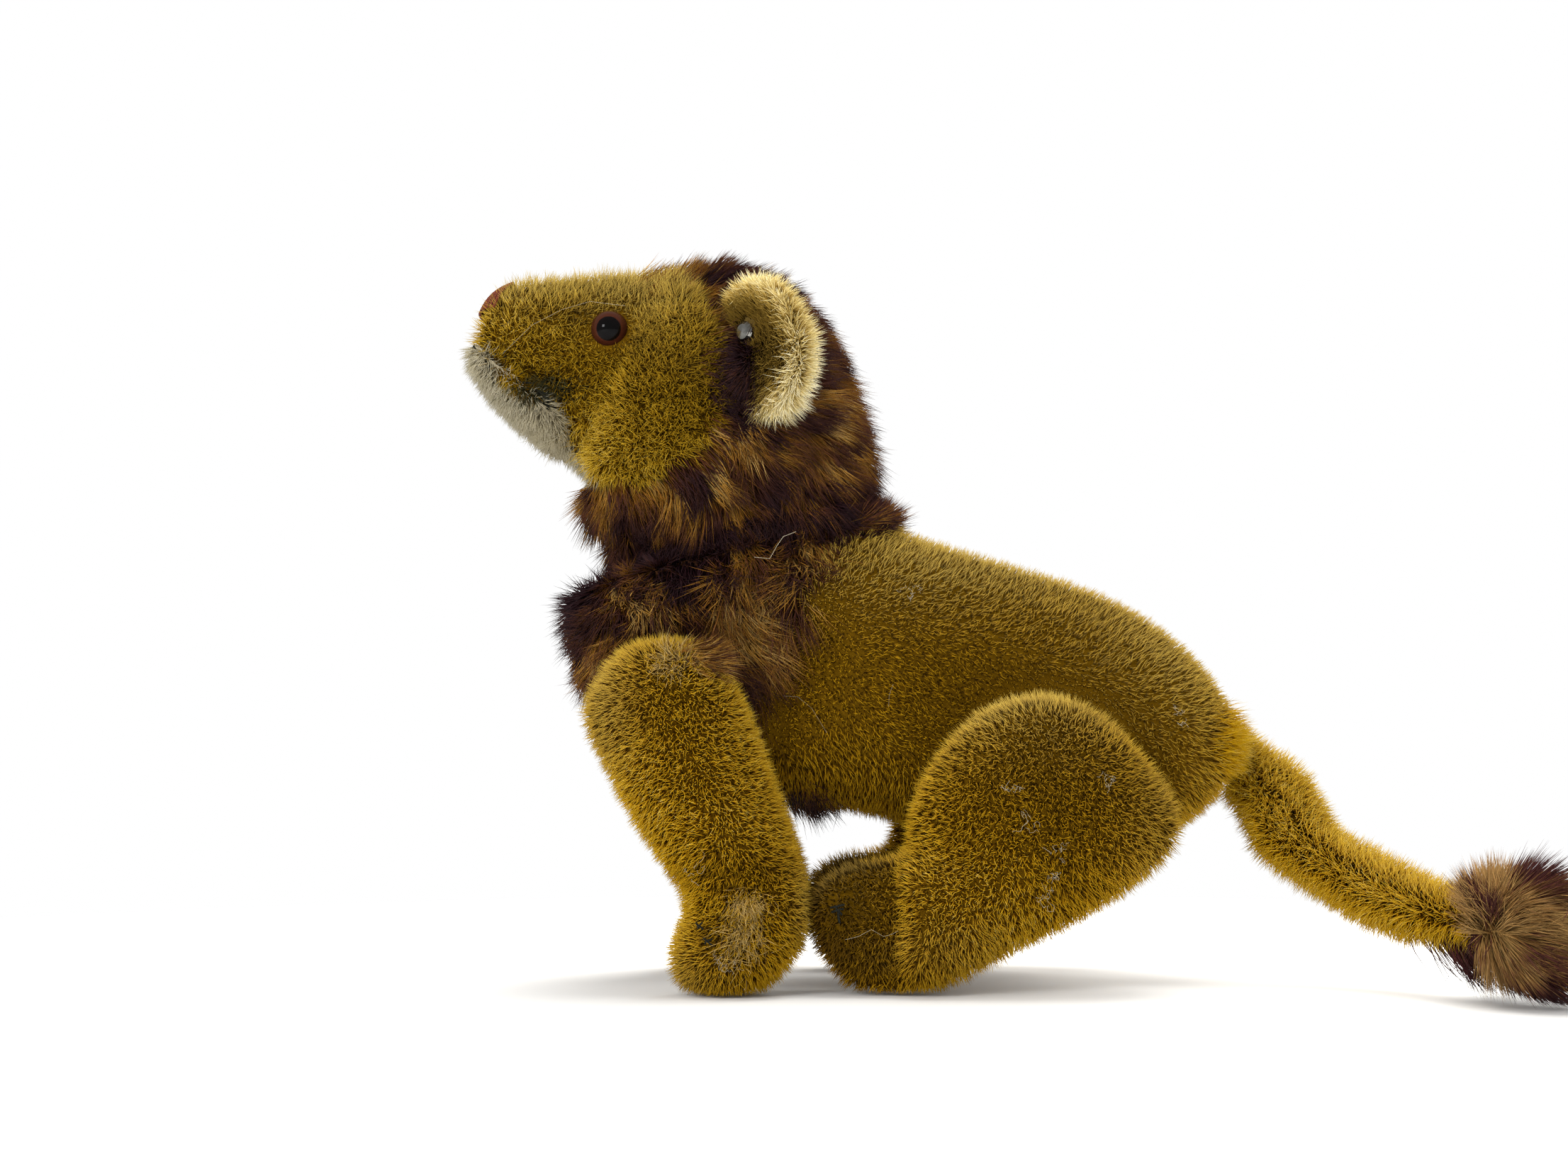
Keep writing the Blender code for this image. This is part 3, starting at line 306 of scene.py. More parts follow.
def plugMesh(point, axis, plug):
    # closes the hole that a pin makes in a cover
    build = bmesh.new()
    bmesh.ops.create_cone(build, cap_ends=True, segments=12, radius1=plug["radius"], radius2=plug["radius"],
                          depth=plug["depth"])
    build.transform(Matrix.Translation(point + axis * plug["clear"])
                    @ axis.to_track_quat("Z", "Y").to_matrix().to_4x4()
                    @ Matrix.Translation((0, 0, plug["depth"] / 2)))
    return meshFrom("plug", build)


def applied(piece):
    graph = bpy.context.evaluated_depsgraph_get()
    mesh = bpy.data.meshes.new_from_object(piece.evaluated_get(graph), depsgraph=graph)
    piece.modifiers.clear()
    piece.data = mesh
    return piece


def smoothed(piece, rounds):
    smooth = piece.modifiers.new("smooth", "SMOOTH")
    smooth.iterations = rounds
    smooth.factor = skinMaking["factor"]
    return applied(piece)


def keepLargest(mesh):
    build = bmesh.new()
    build.from_mesh(mesh)
    left = set(build.verts)
    islands = []
    while left:
        stack = [left.pop()]
        island = set(stack)
        while stack:
            for edge in stack.pop().link_edges:
                for vertex in edge.verts:
                    if vertex in left:
                        left.remove(vertex)
                        island.add(vertex)
                        stack.append(vertex)
        islands.append(island)
    islands.sort(key=len)
    for island in islands[:-1]:
        bmesh.ops.delete(build, geom=list(island), context="VERTS")
    build.to_mesh(mesh)
    build.free()


def makeSkin(name, meshes, skin):
    piece = joinedObject(name, meshes)
    remesh = piece.modifiers.new("remesh", "REMESH")
    remesh.mode = "VOXEL"
    remesh.voxel_size = skin["voxel"]
    applied(piece)
    keepLargest(piece.data)
    smoothed(piece, skin["smooth"])
    moves = [normal.vector * -skin["inset"] for normal in piece.data.vertex_normals]
    for vertex, move in zip(piece.data.vertices, moves):
        vertex.co += move + (skin["shape"](vertex.co, -move.normalized()) if "shape" in skin else Vector())
    smoothed(piece, skinMaking["lastSmooth"])
    piece.data.shade_smooth()
    piece.data.materials.clear()
    piece.data.materials.append(skin["backing"])
    return piece


def treeOf(mesh):
    build = bmesh.new()
    build.from_mesh(mesh)
    tree = BVHTree.FromBMesh(build)
    build.free()
    return tree


nodeTrees = {}


def distanceTo(nodeName, point):
    if nodeName not in nodeTrees:
        nodeTrees[nodeName] = treeOf(frame["nodes"][nodeName].data)
    return nodeTrees[nodeName].find_nearest(point)[3]


def nodeCentre(nodeName):
    low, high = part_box(nodeName)
    return (low + high) / 2


# Geometry trees

def startTree(name, sockets, result):
    # a tree with named inputs and one output
    nodes = Nodes(bpy.data.node_groups.new(name, "GeometryNodeTree"))
    for socketName, kind in sockets:
        nodes.tree.interface.new_socket(socketName, in_out="INPUT", socket_type="NodeSocket" + kind)
    nodes.tree.interface.new_socket(result, in_out="OUTPUT", socket_type="NodeSocketGeometry")
    start = nodes.make("NodeGroupInput")
    return nodes, {socketName: nodes.other(start, socketName) for socketName, _ in sockets}


def endTree(nodes, geometry, material):
    finished = nodes.make("GeometryNodeSetMaterial", None, {"Geometry": geometry, "Material": material})
    end = nodes.tree.nodes.new("NodeGroupOutput")
    nodes.tree.links.new(finished.socket, end.inputs[0])
    return nodes.tree


def throughTree(name, mesh, tree, values):
    # what a geometry tree makes of a mesh, as a plain mesh
    piece = linked(name, mesh)
    modifier = piece.modifiers.new(tree.name, "NODES")
    modifier.node_group = tree
    for item in tree.interface.items_tree:
        if item.in_out == "INPUT" and item.name in values:
            modifier[item.identifier] = values[item.name]
    applied(piece)
    piece.data.shade_smooth()
    return piece


# Pile: strands that a geometry tree plants on a skin

def makePileTree():
    nodes, given = startTree("pile", (
        ("skin", "Geometry"), ("density", "Float"), ("length", "Float"), ("thickness", "Float"),
        ("lean", "Float"), ("spread", "Float"), ("clump", "Float"), ("tuftDensity", "Float"),
        ("curl", "Float"), ("curlScale", "Float"), ("droop", "Float"), ("segments", "Int"),
        ("seed", "Int"), ("tuftSeed", "Int"), ("material", "Material")), "pile")

    def attribute(name, kind="FLOAT"):
        return nodes.make("GeometryNodeInputNamedAttribute", {"data_type": kind}, {"Name": name})

    def store(geometry, name, value, kind, domain):
        return nodes.make("GeometryNodeStoreNamedAttribute", {"data_type": kind, "domain": domain},
                          {"Geometry": geometry, "Name": name, "Value": value})

    def scatter(density, seed):
        return nodes.make("GeometryNodeDistributePointsOnFaces", {"distribute_method": "RANDOM"},
                          {"Mesh": given["skin"], "Density": density * attribute("cover"), "Seed": seed})

    def chance(low, high, kind, seedStep):
        seed = given["seed"] + seedStep if seedStep else given["tuftSeed"]
        return nodes.make("FunctionNodeRandomValue", {"data_type": kind},
                          {"Min": low, "Max": high, "Seed": seed})

    points = scatter(given["density"], given["seed"])
    normal = nodes.other(points, "Normal")
    guides = scatter(given["tuftDensity"], given["tuftSeed"])
    guides = store(guides, "tuft", chance(0.0, 1.0, "FLOAT", 0.0), "FLOAT", "POINT")
    place = nodes.make("GeometryNodeInputPosition")
    comb = attribute("comb", "FLOAT_VECTOR")
    reach = given["length"] * attribute("pileSize") * chance(0.7, 1.1, "FLOAT", 1.0)
    tilt = chance((-1.0, -1.0, -1.0), (1.0, 1.0, 1.0), "FLOAT_VECTOR", 2.0)
    way = normal * (1.0 - given["lean"]) + comb * given["lean"] + tilt * given["spread"]
    guide = nodes.make("GeometryNodeSampleNearest", None, {"Geometry": guides})
    centre = nodes.make("GeometryNodeSampleIndex", {"data_type": "FLOAT_VECTOR"},
                        {"Geometry": guides, "Value": place, "Index": guide})
    tuft = nodes.make("GeometryNodeSampleIndex", {"data_type": "FLOAT"},
                      {"Geometry": guides, "Value": attribute("tuft"), "Index": guide})
    swirl = nodes.make("ShaderNodeTexNoise", None,
                       {"Vector": place, "Scale": given["curlScale"], "Detail": 1.0}, out="Color")
    pull = (centre - place) * given["clump"] + (swirl - (0.5, 0.5, 0.5)) * (given["curl"] * reach)
    pull = pull + comb * (given["droop"] * reach)
    points = store(points, "tuft", tuft, "FLOAT", "POINT")
    points = store(points, "pull", pull, "FLOAT_VECTOR", "POINT")
    points = store(points, "tint", chance(0.0, 1.0, "FLOAT", 3.0), "FLOAT", "POINT")

    # each strand gets a cell of its own in the OFBake map
    number = nodes.make("GeometryNodeInputIndex")
    count = nodes.make("GeometryNodeAttributeDomainSize", {"component": "POINTCLOUD"}, {"Geometry": points},
                       out="Point Count")
    across = nodes.make("ShaderNodeMath", {"operation": "CEIL"}, {0: count ** 0.5})
    row = nodes.make("ShaderNodeMath", {"operation": "FLOOR"}, {0: (number + 0.5) / across})
    cell = nodes.make("ShaderNodeCombineXYZ", None, {"X": number - row * across, "Y": row})
    points = store(points, "cell", cell, "FLOAT_VECTOR", "POINT")

    strand = nodes.make("GeometryNodeMeshCone", {"fill_type": "NGON"},
                        {"Vertices": 3, "Side Segments": given["segments"], "Fill Segments": 1,
                         "Radius Top": 0.0, "Radius Bottom": 0.5, "Depth": 1.0})
    sheetPlace = nodes.other(strand, "UV Map")
    height = nodes.make("ShaderNodeSeparateXYZ", None, {0: nodes.make("GeometryNodeInputPosition")}, out="Z")
    strand = store(strand, "along", height, "FLOAT", "POINT")
    strand = store(strand, "flat", sheetPlace, "FLOAT_VECTOR", "CORNER")
    turn = nodes.make("FunctionNodeAlignRotationToVector", {"axis": "Z"}, {"Vector": way})
    scale = nodes.make("ShaderNodeCombineXYZ", None,
                       {"X": given["thickness"], "Y": given["thickness"], "Z": reach})
    planted = nodes.make("GeometryNodeInstanceOnPoints", None,
                         {"Points": points, "Instance": strand, "Rotation": turn, "Scale": scale})
    planted = nodes.make("GeometryNodeRealizeInstances", None, {"Geometry": planted})
    bend = attribute("pull", "FLOAT_VECTOR") * (attribute("along") ** 1.6)
    planted = nodes.make("GeometryNodeSetPosition", None, {"Geometry": planted, "Offset": bend})
    mapPlace = (attribute("cell", "FLOAT_VECTOR") + attribute("flat", "FLOAT_VECTOR") * 0.9) * (1.0 / across)
    planted = store(planted, "OFBake", mapPlace, "FLOAT2", "CORNER")
    for name in ("pull", "cell", "flat", "comb", "cover", "pileSize"):
        planted = nodes.make("GeometryNodeRemoveAttribute", None, {"Geometry": planted, "Name": name})
    return endTree(nodes, planted, given["material"])


pileTree = makePileTree()
pileRest = {"clump": 0.0, "curl": 0.0, "curlScale": 60.0, "droop": 0.0}
floorHeight = 0.0001                           # strands under a paw lie flat on what it stands on


def growPile(name, skin, pile, cover, comb, size=None, shade=None, dust=None):
    # cover, comb, size, shade and the dust with painted top light are functions of a skin point and its normal
    mesh = skin.data.copy()
    places = [(vertex.co.copy(), normal.vector.copy())
              for vertex, normal in zip(mesh.vertices, mesh.vertex_normals)]
    paints = (("cover", cover, 1.0), ("pileSize", size, 1.0), ("shade", shade, 0.5), ("dust", dust, 0.0))
    for paint, painter, plain in paints:
        values = [painter(point, normal) if painter else plain for point, normal in places]
        mesh.attributes.new(paint, "FLOAT", "POINT").data.foreach_set("value", values)
        if paint == "cover":
            covers = values
    combs = []
    for point, normal in places:
        way = comb(point, normal)
        way -= normal * way.dot(normal)
        combs.extend(way.normalized() if way.length > 0.05 else (0.0, 0.0, 0.0))
    mesh.attributes.new("comb", "FLOAT_VECTOR", "POINT").data.foreach_set("vector", combs)
    area = sum(face.area * sum(covers[i] for i in face.vertices) / len(face.vertices)
               for face in mesh.polygons)
    piece = throughTree(name, mesh, pileTree, {
        **pileRest, "tuftSeed": pile["seed"] + 7, **pile, "density": pile["strands"] / area,
        "tuftDensity": pile["strands"] / pile["perClump"] / area})
    for vertex in piece.data.vertices:
        vertex.co.z = max(vertex.co.z, floorHeight)
    print(name, len(piece.data.polygons), "faces")
    return piece


# Threads: a geometry tree gives each path of edges its round section

def makeThreadTree():
    nodes, given = startTree("threads", (
        ("paths", "Geometry"), ("radius", "Float"), ("sides", "Int"), ("material", "Material")), "threads")
    curves = nodes.make("GeometryNodeMeshToCurve", None, {"Mesh": given["paths"]})
    section = nodes.make("GeometryNodeCurvePrimitiveCircle", None,
                         {"Resolution": given["sides"], "Radius": given["radius"]})
    threads = nodes.make("GeometryNodeCurveToMesh", None,
                         {"Curve": curves, "Profile Curve": section, "Fill Caps": True})
    threads = nodes.make("GeometryNodeRealizeInstances", None, {"Geometry": threads})
    return endTree(nodes, threads, given["material"])


threadTree = makeThreadTree()


def makeThreads(name, paths, radius, material, sides=8):
    build = bmesh.new()
    for path in paths:
        corners = [build.verts.new(point) for point in path]
        for near, far in zip(corners, corners[1:]):
            build.edges.new((near, far))
    return throughTree(name, meshFrom(name, build), threadTree,
                       {"radius": radius, "sides": sides, "material": material})


# Camera, light and floor

view = {"distance": 0.450, "sideways": 0.0035, "height": 0.0418, "pitch": 6.13, "lens": 44.39, "sensor": 36.0}
photoSize = (2212.0, 1659.0)
photoPixels = view["lens"] / view["sensor"] * photoSize[0]
metresPerPixel = 0.000165                      # at the lion's middle
# name, place, size, power, colour, whether glass mirrors it
lamps = (("keyLamp", (-0.45, -0.60, 0.50), 0.6, 2.3, (1.0, 0.98, 0.95), False),
         ("fillLamp", (0.60, -0.45, 0.20), 0.7, 1.8, (0.96, 0.97, 1.0), False),
         ("topLamp", (0.05, 0.12, 0.75), 0.6, 6.0, (1.0, 0.99, 0.96), False),
         ("catchLamp", (-0.50, -0.62, 0.30), 0.18, 2.3, (1.0, 1.0, 1.0), True),
         ("rimLamp", (0.35, 0.60, 0.40), 0.5, 6.5, (1.0, 0.98, 0.94), False))
lampAim = Vector((0, 0, 0.08))
floorSet = {"size": 3.0, "height": -0.0003, "colour": (0.93, 0.93, 0.92, 1.0), "near": 0.17, "far": 0.40}
cameraPlace = Vector((neckPoint.x + view["sideways"], midPlane - view["distance"], view["height"]))
cameraTurn = Matrix.Rotation(math.radians(90.0 + view["pitch"]), 3, "X")
cameraBack = cameraTurn.inverted()


def pixelOf(point):
    # where the photograph shows a point, mirrored so that both sides are treated alike
    left = Vector((point.x, midPlane - abs(point.y - midPlane), point.z))
    seen = cameraBack @ (left - cameraPlace)
    return (photoSize[0] / 2 - seen.x / seen.z * photoPixels,
            photoSize[1] / 2 + seen.y / seen.z * photoPixels)


def underPixel(u, v, tree):
    ray = cameraTurn @ Vector(((u - photoSize[0] / 2) / photoPixels, (photoSize[1] / 2 - v) / photoPixels,
                               -1.0))
    point, normal, _, _ = tree.ray_cast(cameraPlace, ray.normalized())
    return point, normal


def painted(point, spots, plain=0.5):
    # spots are (u, v, reach across, reach down, amount) in the photograph's pixels
    u, v = pixelOf(point)
    value = plain
    for spotU, spotV, reachU, reachV, amount in spots:
        away = ((u - spotU) / reachU) ** 2 + ((v - spotV) / reachV) ** 2
        value += amount * math.exp(-away)
    return value


raggedScale = 140.0


def inZone(point, zone, ragged=0.0):
    # whether the photograph shows a point inside an outline; ragged moves the edge in and out
    u, v = pixelOf(point)
    if ragged:
        drift = noise.noise_vector(Vector((point.x, abs(point.y - midPlane), point.z)) * raggedScale)
        u += drift.x * ragged
        v += drift.y * ragged
    inside = False
    for (oneU, oneV), (nextU, nextV) in zip(zone, zone[1:] + zone[:1]):
        if (oneV > v) != (nextV > v) and u < oneU + (v - oneV) / (nextV - oneV) * (nextU - oneU):
            inside = not inside
    return inside


# outlines in the photograph's pixels: the bare face, the white chin, the front of the crown, the mane on the
# chest and the front of the ear, which lies under dark mane below its stud
faceZone = ((442, 166), (936, 166), (938, 371), (979, 418), (1012, 476), (1024, 531), (1013, 597), (973, 647),
            (901, 677), (830, 670), (801, 655), (442, 774))
whiteZone = ((553, 420), (664, 447), (678, 478), (706, 519), (742, 551), (792, 573), (804, 619), (846, 668),
             (838, 735), (553, 664))
crownZone = ((906, 160), (906, 374), (924, 398), (990, 420), (1060, 430), (1060, 160))
chestZone = ((664, 708), (951, 774), (1106, 730), (1272, 664), (1294, 739), (1231, 740), (1173, 766),
             (1147, 820), (1120, 864), (1098, 926), (1067, 970), (1054, 1023), (1010, 962), (970, 918),
             (664, 995))
earZone = ((980, 455), (1030, 466), (1058, 496), (1070, 540), (1068, 600), (1040, 640), (980, 640))


def onFace(point):
    return inZone(point, faceZone, 14.0)


def onWhite(point):
    return inZone(point, whiteZone, 5.0)


def onChest(point):
    return inZone(point, chestZone, 16.0)


def onEarFront(point):
    return inZone(point, earZone, 8.0)


def makeStage():
    camera = linked("camera", bpy.data.cameras.new("camera"))
    camera.data.lens = view["lens"]
    camera.data.sensor_width = view["sensor"]
    camera.data.clip_start = 0.01
    camera.location = cameraPlace
    camera.rotation_euler = (math.radians(90.0 + view["pitch"]), 0.0, 0.0)
    bpy.context.scene.camera = camera
    bpy.context.scene.view_settings.view_transform = "Standard"

    for name, place, size, power, colour, glossy in lamps:
        lamp = linked(name, bpy.data.lights.new(name, "AREA"))
        lamp.data.size = size
        lamp.data.energy = power
        lamp.data.color = colour
        lamp.location = place
        lamp.visible_glossy = glossy
        lamp.rotation_euler = (lampAim - lamp.location).to_track_quat("-Z", "Y").to_euler()

    def shownTo(nodes):                        # 1 for what the camera sees, straight or through glass
        paths = nodes.make("ShaderNodeLightPath", out="Is Camera Ray")
        return nodes.make("ShaderNodeClamp", None,
                          {"Value": paths + nodes.other(paths, "Is Transmission Ray")})

    world = bpy.data.worlds.new("world")
    bpy.context.scene.world = world
    world.use_nodes = True
    nodes = Nodes(world.node_tree)
    fillShader(nodes, world.node_tree.nodes["Background"],
               {"Color": (1.0, 1.0, 1.0, 1.0), "Strength": 0.5 + shownTo(nodes) * 0.5})

    build = bmesh.new()
    bmesh.ops.create_grid(build, x_segments=1, y_segments=1, size=floorSet["size"])
    floor = linked("floor", meshFrom("floor", build))
    floor.data.transform(Matrix.Translation((0, 0, floorSet["height"])))
    material, nodes, shader = newMaterial("paleFloor")
    fillShader(nodes, shader, {"Base Color": floorSet["colour"], "Roughness": 0.9})
    away = nodes.make("ShaderNodeVectorMath", {"operation": "LENGTH"}, {0: nodes.place()}, out="Value")
    far = nodes.make("ShaderNodeMapRange", {"interpolation_type": "SMOOTHSTEP"},
                     {"Value": away, "From Min": floorSet["near"], "From Max": floorSet["far"]})
    glow = nodes.make("ShaderNodeEmission")
    mixed = nodes.make("ShaderNodeMixShader", None,
                       {0: far * shownTo(nodes), 1: Wire(nodes, shader.outputs[0]), 2: glow})
    nodes.feed(nodes.tree.nodes["Material Output"].inputs["Surface"], mixed)
    floor.data.materials.append(material)


makeStage()
print("stage made")


# What the pile of every piece is laid by

def always(point, normal):
    return 1.0


def combed(*way):
    return lambda point, normal: Vector(way)


def wavy(way, scale, wander, offset=Vector()):
    return lambda point, normal: Vector(way) + noise.noise_vector(point * scale + offset) * wander


def shaded(spots, plain=0.5):
    return lambda point, normal: painted(point, spots, plain)


# dust, and painted top light: more where a surface faces up and at the given spots
def upDustAndLight(spots):
    return lambda point, normal: min(1.0, painted(point, spots, 0.06 + 0.35 * max(0.0, normal.z)))


def upNeck(point):
    return (point - neckPoint).dot(neckAxis)


def onNeckDisc(point):
    # the flat face that turns against the head, which stays bare
    return upNeck(point) > -0.0016


def neckFlush(point, normal, side, inset):
    # the faces that turn on each other at the neck stay close, so no light comes through
    # side is 1 for the torso and -1 for the head
    facing = side * normal.dot(neckAxis)
    return normal * (0.85 * inset) if facing > 0.5 and abs(upNeck(point)) < 0.006 else Vector()


def seamNear(point):
    # 1 where the manes of head and chest meet, falling off on both sides
    return math.exp(-(upNeck(point) / 0.0055) ** 2)


# Gold body

goldSkin = {"voxel": 0.0015, "smooth": 9, "inset": 0.0010, "backing": goldBacking}
goldPileSet = {"strands": 44000, "length": 0.0034, "thickness": 0.00030, "lean": 0.20, "spread": 0.28,
               "perClump": 3.2, "clump": 0.62, "curl": 0.45, "curlScale": 260.0, "segments": 1, "seed": 11,
               "material": goldPile}
legPileSet = dict(goldPileSet, strands=22500, length=0.0037, thickness=0.00033, spread=0.34, clump=0.45,
                  seed=21)
pressed = {"short": 0.4, "inner": 0.0205, "reach": 0.024}
# spots: (u, v, reach across, reach down, amount) in the photograph's pixels, more is darker; on the torso they
# are painted shade on the middle and lower flank and by the collar, and painted light along the back and on
# the rump
torsoShade = ((1380, 960, 330, 140, 0.32), (1130, 1100, 110, 70, 0.12), (1170, 790, 60, 50, 0.10),
              (1250, 760, 200, 50, -0.10), (1680, 960, 110, 160, -0.14))
# dust, and painted light along the back and on the rump
torsoDustAndLight = ((1330, 800, 260, 70, 0.75), (1640, 930, 140, 170, 0.55))
# on the legs the thigh's darker middle and the foot are painted shade, the foot lying in the thigh's shadow
# and also dirty; the thigh's lighter top and lower edge are painted light; the thin dark lines are seams
legShade = {
    "hind_leg": ((1500, 1110, 120, 130, 0.32), (1185, 1290, 84, 120, 0.92), (1360, 1270, 110, 80, -0.20),
                 (1450, 1000, 120, 50, -0.12), (1215, 1234, 50, 7, 0.45), (1265, 1330, 16, 60, 0.30)),
    "fore_leg": ((1010, 1140, 90, 130, -0.10), (900, 960, 60, 60, 0.10), (1010, 1225, 70, 9, 0.30),
                 (1034, 1251, 26, 7, 0.75), (1075, 1225, 60, 22, 0.22), (960, 1380, 90, 30, 0.14),
                 (1004, 1320, 14, 14, 0.5))}
# dust, and painted light on the top of the thigh; the pale patches by the fore paw are dust
legDustAndLight = {"hind_leg": ((1450, 1010, 130, 60, 0.55), (1640, 1180, 60, 120, 0.35), (1330, 1330, 90, 40, 0.25)),
           "fore_leg": ((860, 1000, 45, 90, 0.55), (1140, 1275, 26, 60, 0.60), (950, 1380, 50, 40, 0.45))}
footEdge = {"u": 1284, "v": 1200, "slope": 0.03, "soft": 0.0011, "step": 0.0062, "centre": (1196, 1282),
            "reach": 110.0}
# where an outline swells or narrows: (u, v, reach across, reach down, metres) in the photograph's pixels
swells = {"hind_leg": ((1166, 1285, 36, 60, 0.0028), (1655, 1170, 60, 70, 0.0018)),
          "fore_leg": ((832, 1012, 40, 50, 0.0026),),
          "tail": ((1792, 1192, 60, 45, 0.0030), (1838, 1090, 36, 36, 0.0022), (1890, 1165, 34, 30, -0.0024))}


def flankShortness(point, normal):
    # pile is short where a leg and the flank press on each other
    if abs(normal.y) < 0.9 or abs(point.y - midPlane) < pressed["inner"]:
        return 1.0
    near = min((point - pin).xz.length for pin in pins.values()) < pressed["reach"]
    return pressed["short"] if near else 1.0


def innerShortness(leg):
    return lambda point, normal: pressed["short"] if normal.y * sideAxis[leg].y < -0.75 else 1.0


def foreShape(point, normal):
    return Vector((normal.x * painted(point, swells["fore_leg"], 0.0), 0.0, 0.0))


def footStep(leg):
    # the foot comes out from under the thigh, so its outer side steps in at the thigh's front edge
    low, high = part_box(leg + "_cover")

    def shape(point, normal):
        u, v = pixelOf(point)
        edge = footEdge["u"] + footEdge["slope"] * (v - footEdge["v"])
        before = (edge - u) * metresPerPixel / footEdge["soft"]
        outward = (point.y - (low.y + high.y) / 2) * sideAxis[leg].y / ((high.y - low.y) / 2)
        fromMiddle = math.hypot(u - footEdge["centre"][0], v - footEdge["centre"][1]) / footEdge["reach"]
        dome = 0.60 + 0.65 * min(1.0, fromMiddle) ** 2
        step = sideAxis[leg] * (-footEdge["step"] * min(1.0, max(0.0, before)) * max(0.0, outward) * dome)
        return step + Vector((normal.x * painted(point, swells["hind_leg"], 0.0), 0.0, 0.0))

    return shape


def chestHollow(point, normal):
    # the gold skin goes down under the mane of the chest
    if inZone(point, chestZone) and not onNeckDisc(point):
        return normal * -0.0024
    return neckFlush(point, normal, 1, goldSkin["inset"])


def offChest(point, normal):
    return 0.0 if onNeckDisc(point) or onChest(point) else 1.0


torsoMeshes = copyMeshes("torso_cover", "torso_stuffing")
torsoMeshes += [plugMesh(pins[leg], -sideAxis[leg], legPlug) for leg in legNames]
torsoMeshes.append(plugMesh(neckPoint, -neckAxis, neckPlug))
torsoSkin = makeSkin("torsoSkin", torsoMeshes, dict(goldSkin, shape=chestHollow))
torsoPile = growPile("torsoPile", torsoSkin, goldPileSet, offChest, wavy((0.5, 0.0, -0.55), 80.0, 0.55),
                     flankShortness, shaded(torsoShade), upDustAndLight(torsoDustAndLight))
handIn((torsoSkin, torsoPile), "torso", ("torso_cover", "torso_stuffing"))

legSkins = {}
for number, leg in enumerate(legNames):
    kind = leg.split("_", 1)[1]
    meshes = copyMeshes(leg + "_cover", leg + "_stuffing") + [plugMesh(pins[leg], sideAxis[leg], legPlug)]
    skin = makeSkin(leg + "_skin", meshes,
                    dict(goldSkin, shape=footStep(leg) if "hind" in leg else foreShape))
    legSkins[leg] = skin
    pile = growPile(leg + "_pile", skin, dict(legPileSet, seed=legPileSet["seed"] + number), always,
                    wavy((-0.15, 0.0, -0.6), 95.0, 0.9), innerShortness(leg), shaded(legShade[kind]),
                    upDustAndLight(legDustAndLight[kind]))
    handIn((skin, pile), leg, (leg + "_cover", leg + "_stuffing"))
print("body and legs made")

tailSkinSet = {"voxel": 0.0009, "smooth": 10, "inset": 0.0024, "backing": goldBacking, "reach": 0.0058}
tailPileSet = dict(goldPileSet, strands=15500, length=0.0056, thickness=0.00034, lean=0.22, spread=0.42,
                   clump=0.7, perClump=5.0, seed=41)
tasselLow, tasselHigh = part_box("tail_tassel")
tasselCentre = nodeCentre("tail_tassel")


def nearTassel(point):
    return max(0.0, min(1.0, (point.x - tasselLow.x) / 0.006 + 0.6))


def tailReach(point, normal):
    # the tail swells below its root, and its end reaches into its tassel
    swell = Vector((normal.x, 0.0, normal.z)) * painted(point, swells["tail"], 0.0)
    return swell + (tasselCentre - point).normalized() * (tailSkinSet["reach"] * nearTassel(point))


def tailComb(point, normal):
    return Vector((0.6, -0.4, -0.45)).lerp(Vector((1.0, -0.2, -0.2)), nearTassel(point))


tailSkin = makeSkin("tailSkin", copyMeshes("tail_cover", "tail_stuffing"), dict(tailSkinSet, shape=tailReach))
tailPile = growPile("tailPile", tailSkin, tailPileSet, always, tailComb, None, shaded((), 0.44), upDustAndLight(()))
handIn((tailSkin, tailPile), "torso", ("tail_cover", "tail_stuffing"))
print("tail made")


# Head

headSkinSet = {"voxel": 0.0011, "smooth": 10, "inset": 0.0014, "backing": goldBacking}
facePileSet = dict(goldPileSet, strands=32000, length=0.0048, thickness=0.00028, lean=0.36, spread=0.46,
                   perClump=4.0, clump=0.55, curl=0.9, curlScale=190.0, seed=31, material=facePile)
# the small dark spots by the eye and at the mouth are the lion's own airbrushed marks and dark fuzz; the
# darker cheek and the band before the ear are painted shade, the lighter spots painted light
faceSpots = ((960, 560, 90, 70, 0.28), (800, 520, 50, 50, 0.12), (820, 640, 70, 45, -0.16),
             (812, 450, 16, 12, 0.70), (905, 485, 30, 18, 0.40), (720, 430, 70, 40, -0.08),
             (760, 543, 30, 15, 1.50), (702, 516, 12, 8, 0.9), (660, 456, 12, 8, 0.9),
             (1010, 480, 40, 110, 0.22))
# dust, and painted top light on the forehead and along the top of the muzzle
faceDustAndLight = upDustAndLight(((850, 400, 180, 34, 0.65), (900, 440, 60, 40, 0.30), (720, 400, 60, 30, 0.45)))
faceShade = shaded(faceSpots)
bare = {"eye": 0.0004, "nose": 0.0010, "mane": 0.0004, "chin": 0.0005, "neck": 0.002}
eyeRadius = 0.0043
eyeCentres = {eye: nodeCentre(eye) for eye in ("left_eye", "right_eye")}
noseCentre = nodeCentre("nose_stitching")


def headShape(point, normal):
    return neckFlush(point, normal, -1, headSkinSet["inset"])


def eyeGap(point):
    return min((point - centre).length for centre in eyeCentres.values()) - eyeRadius


def bareFace(point):
    # eyes and nose stay free of pile
    return eyeGap(point) > bare["eye"] and distanceTo("nose_stitching", point) > bare["nose"]


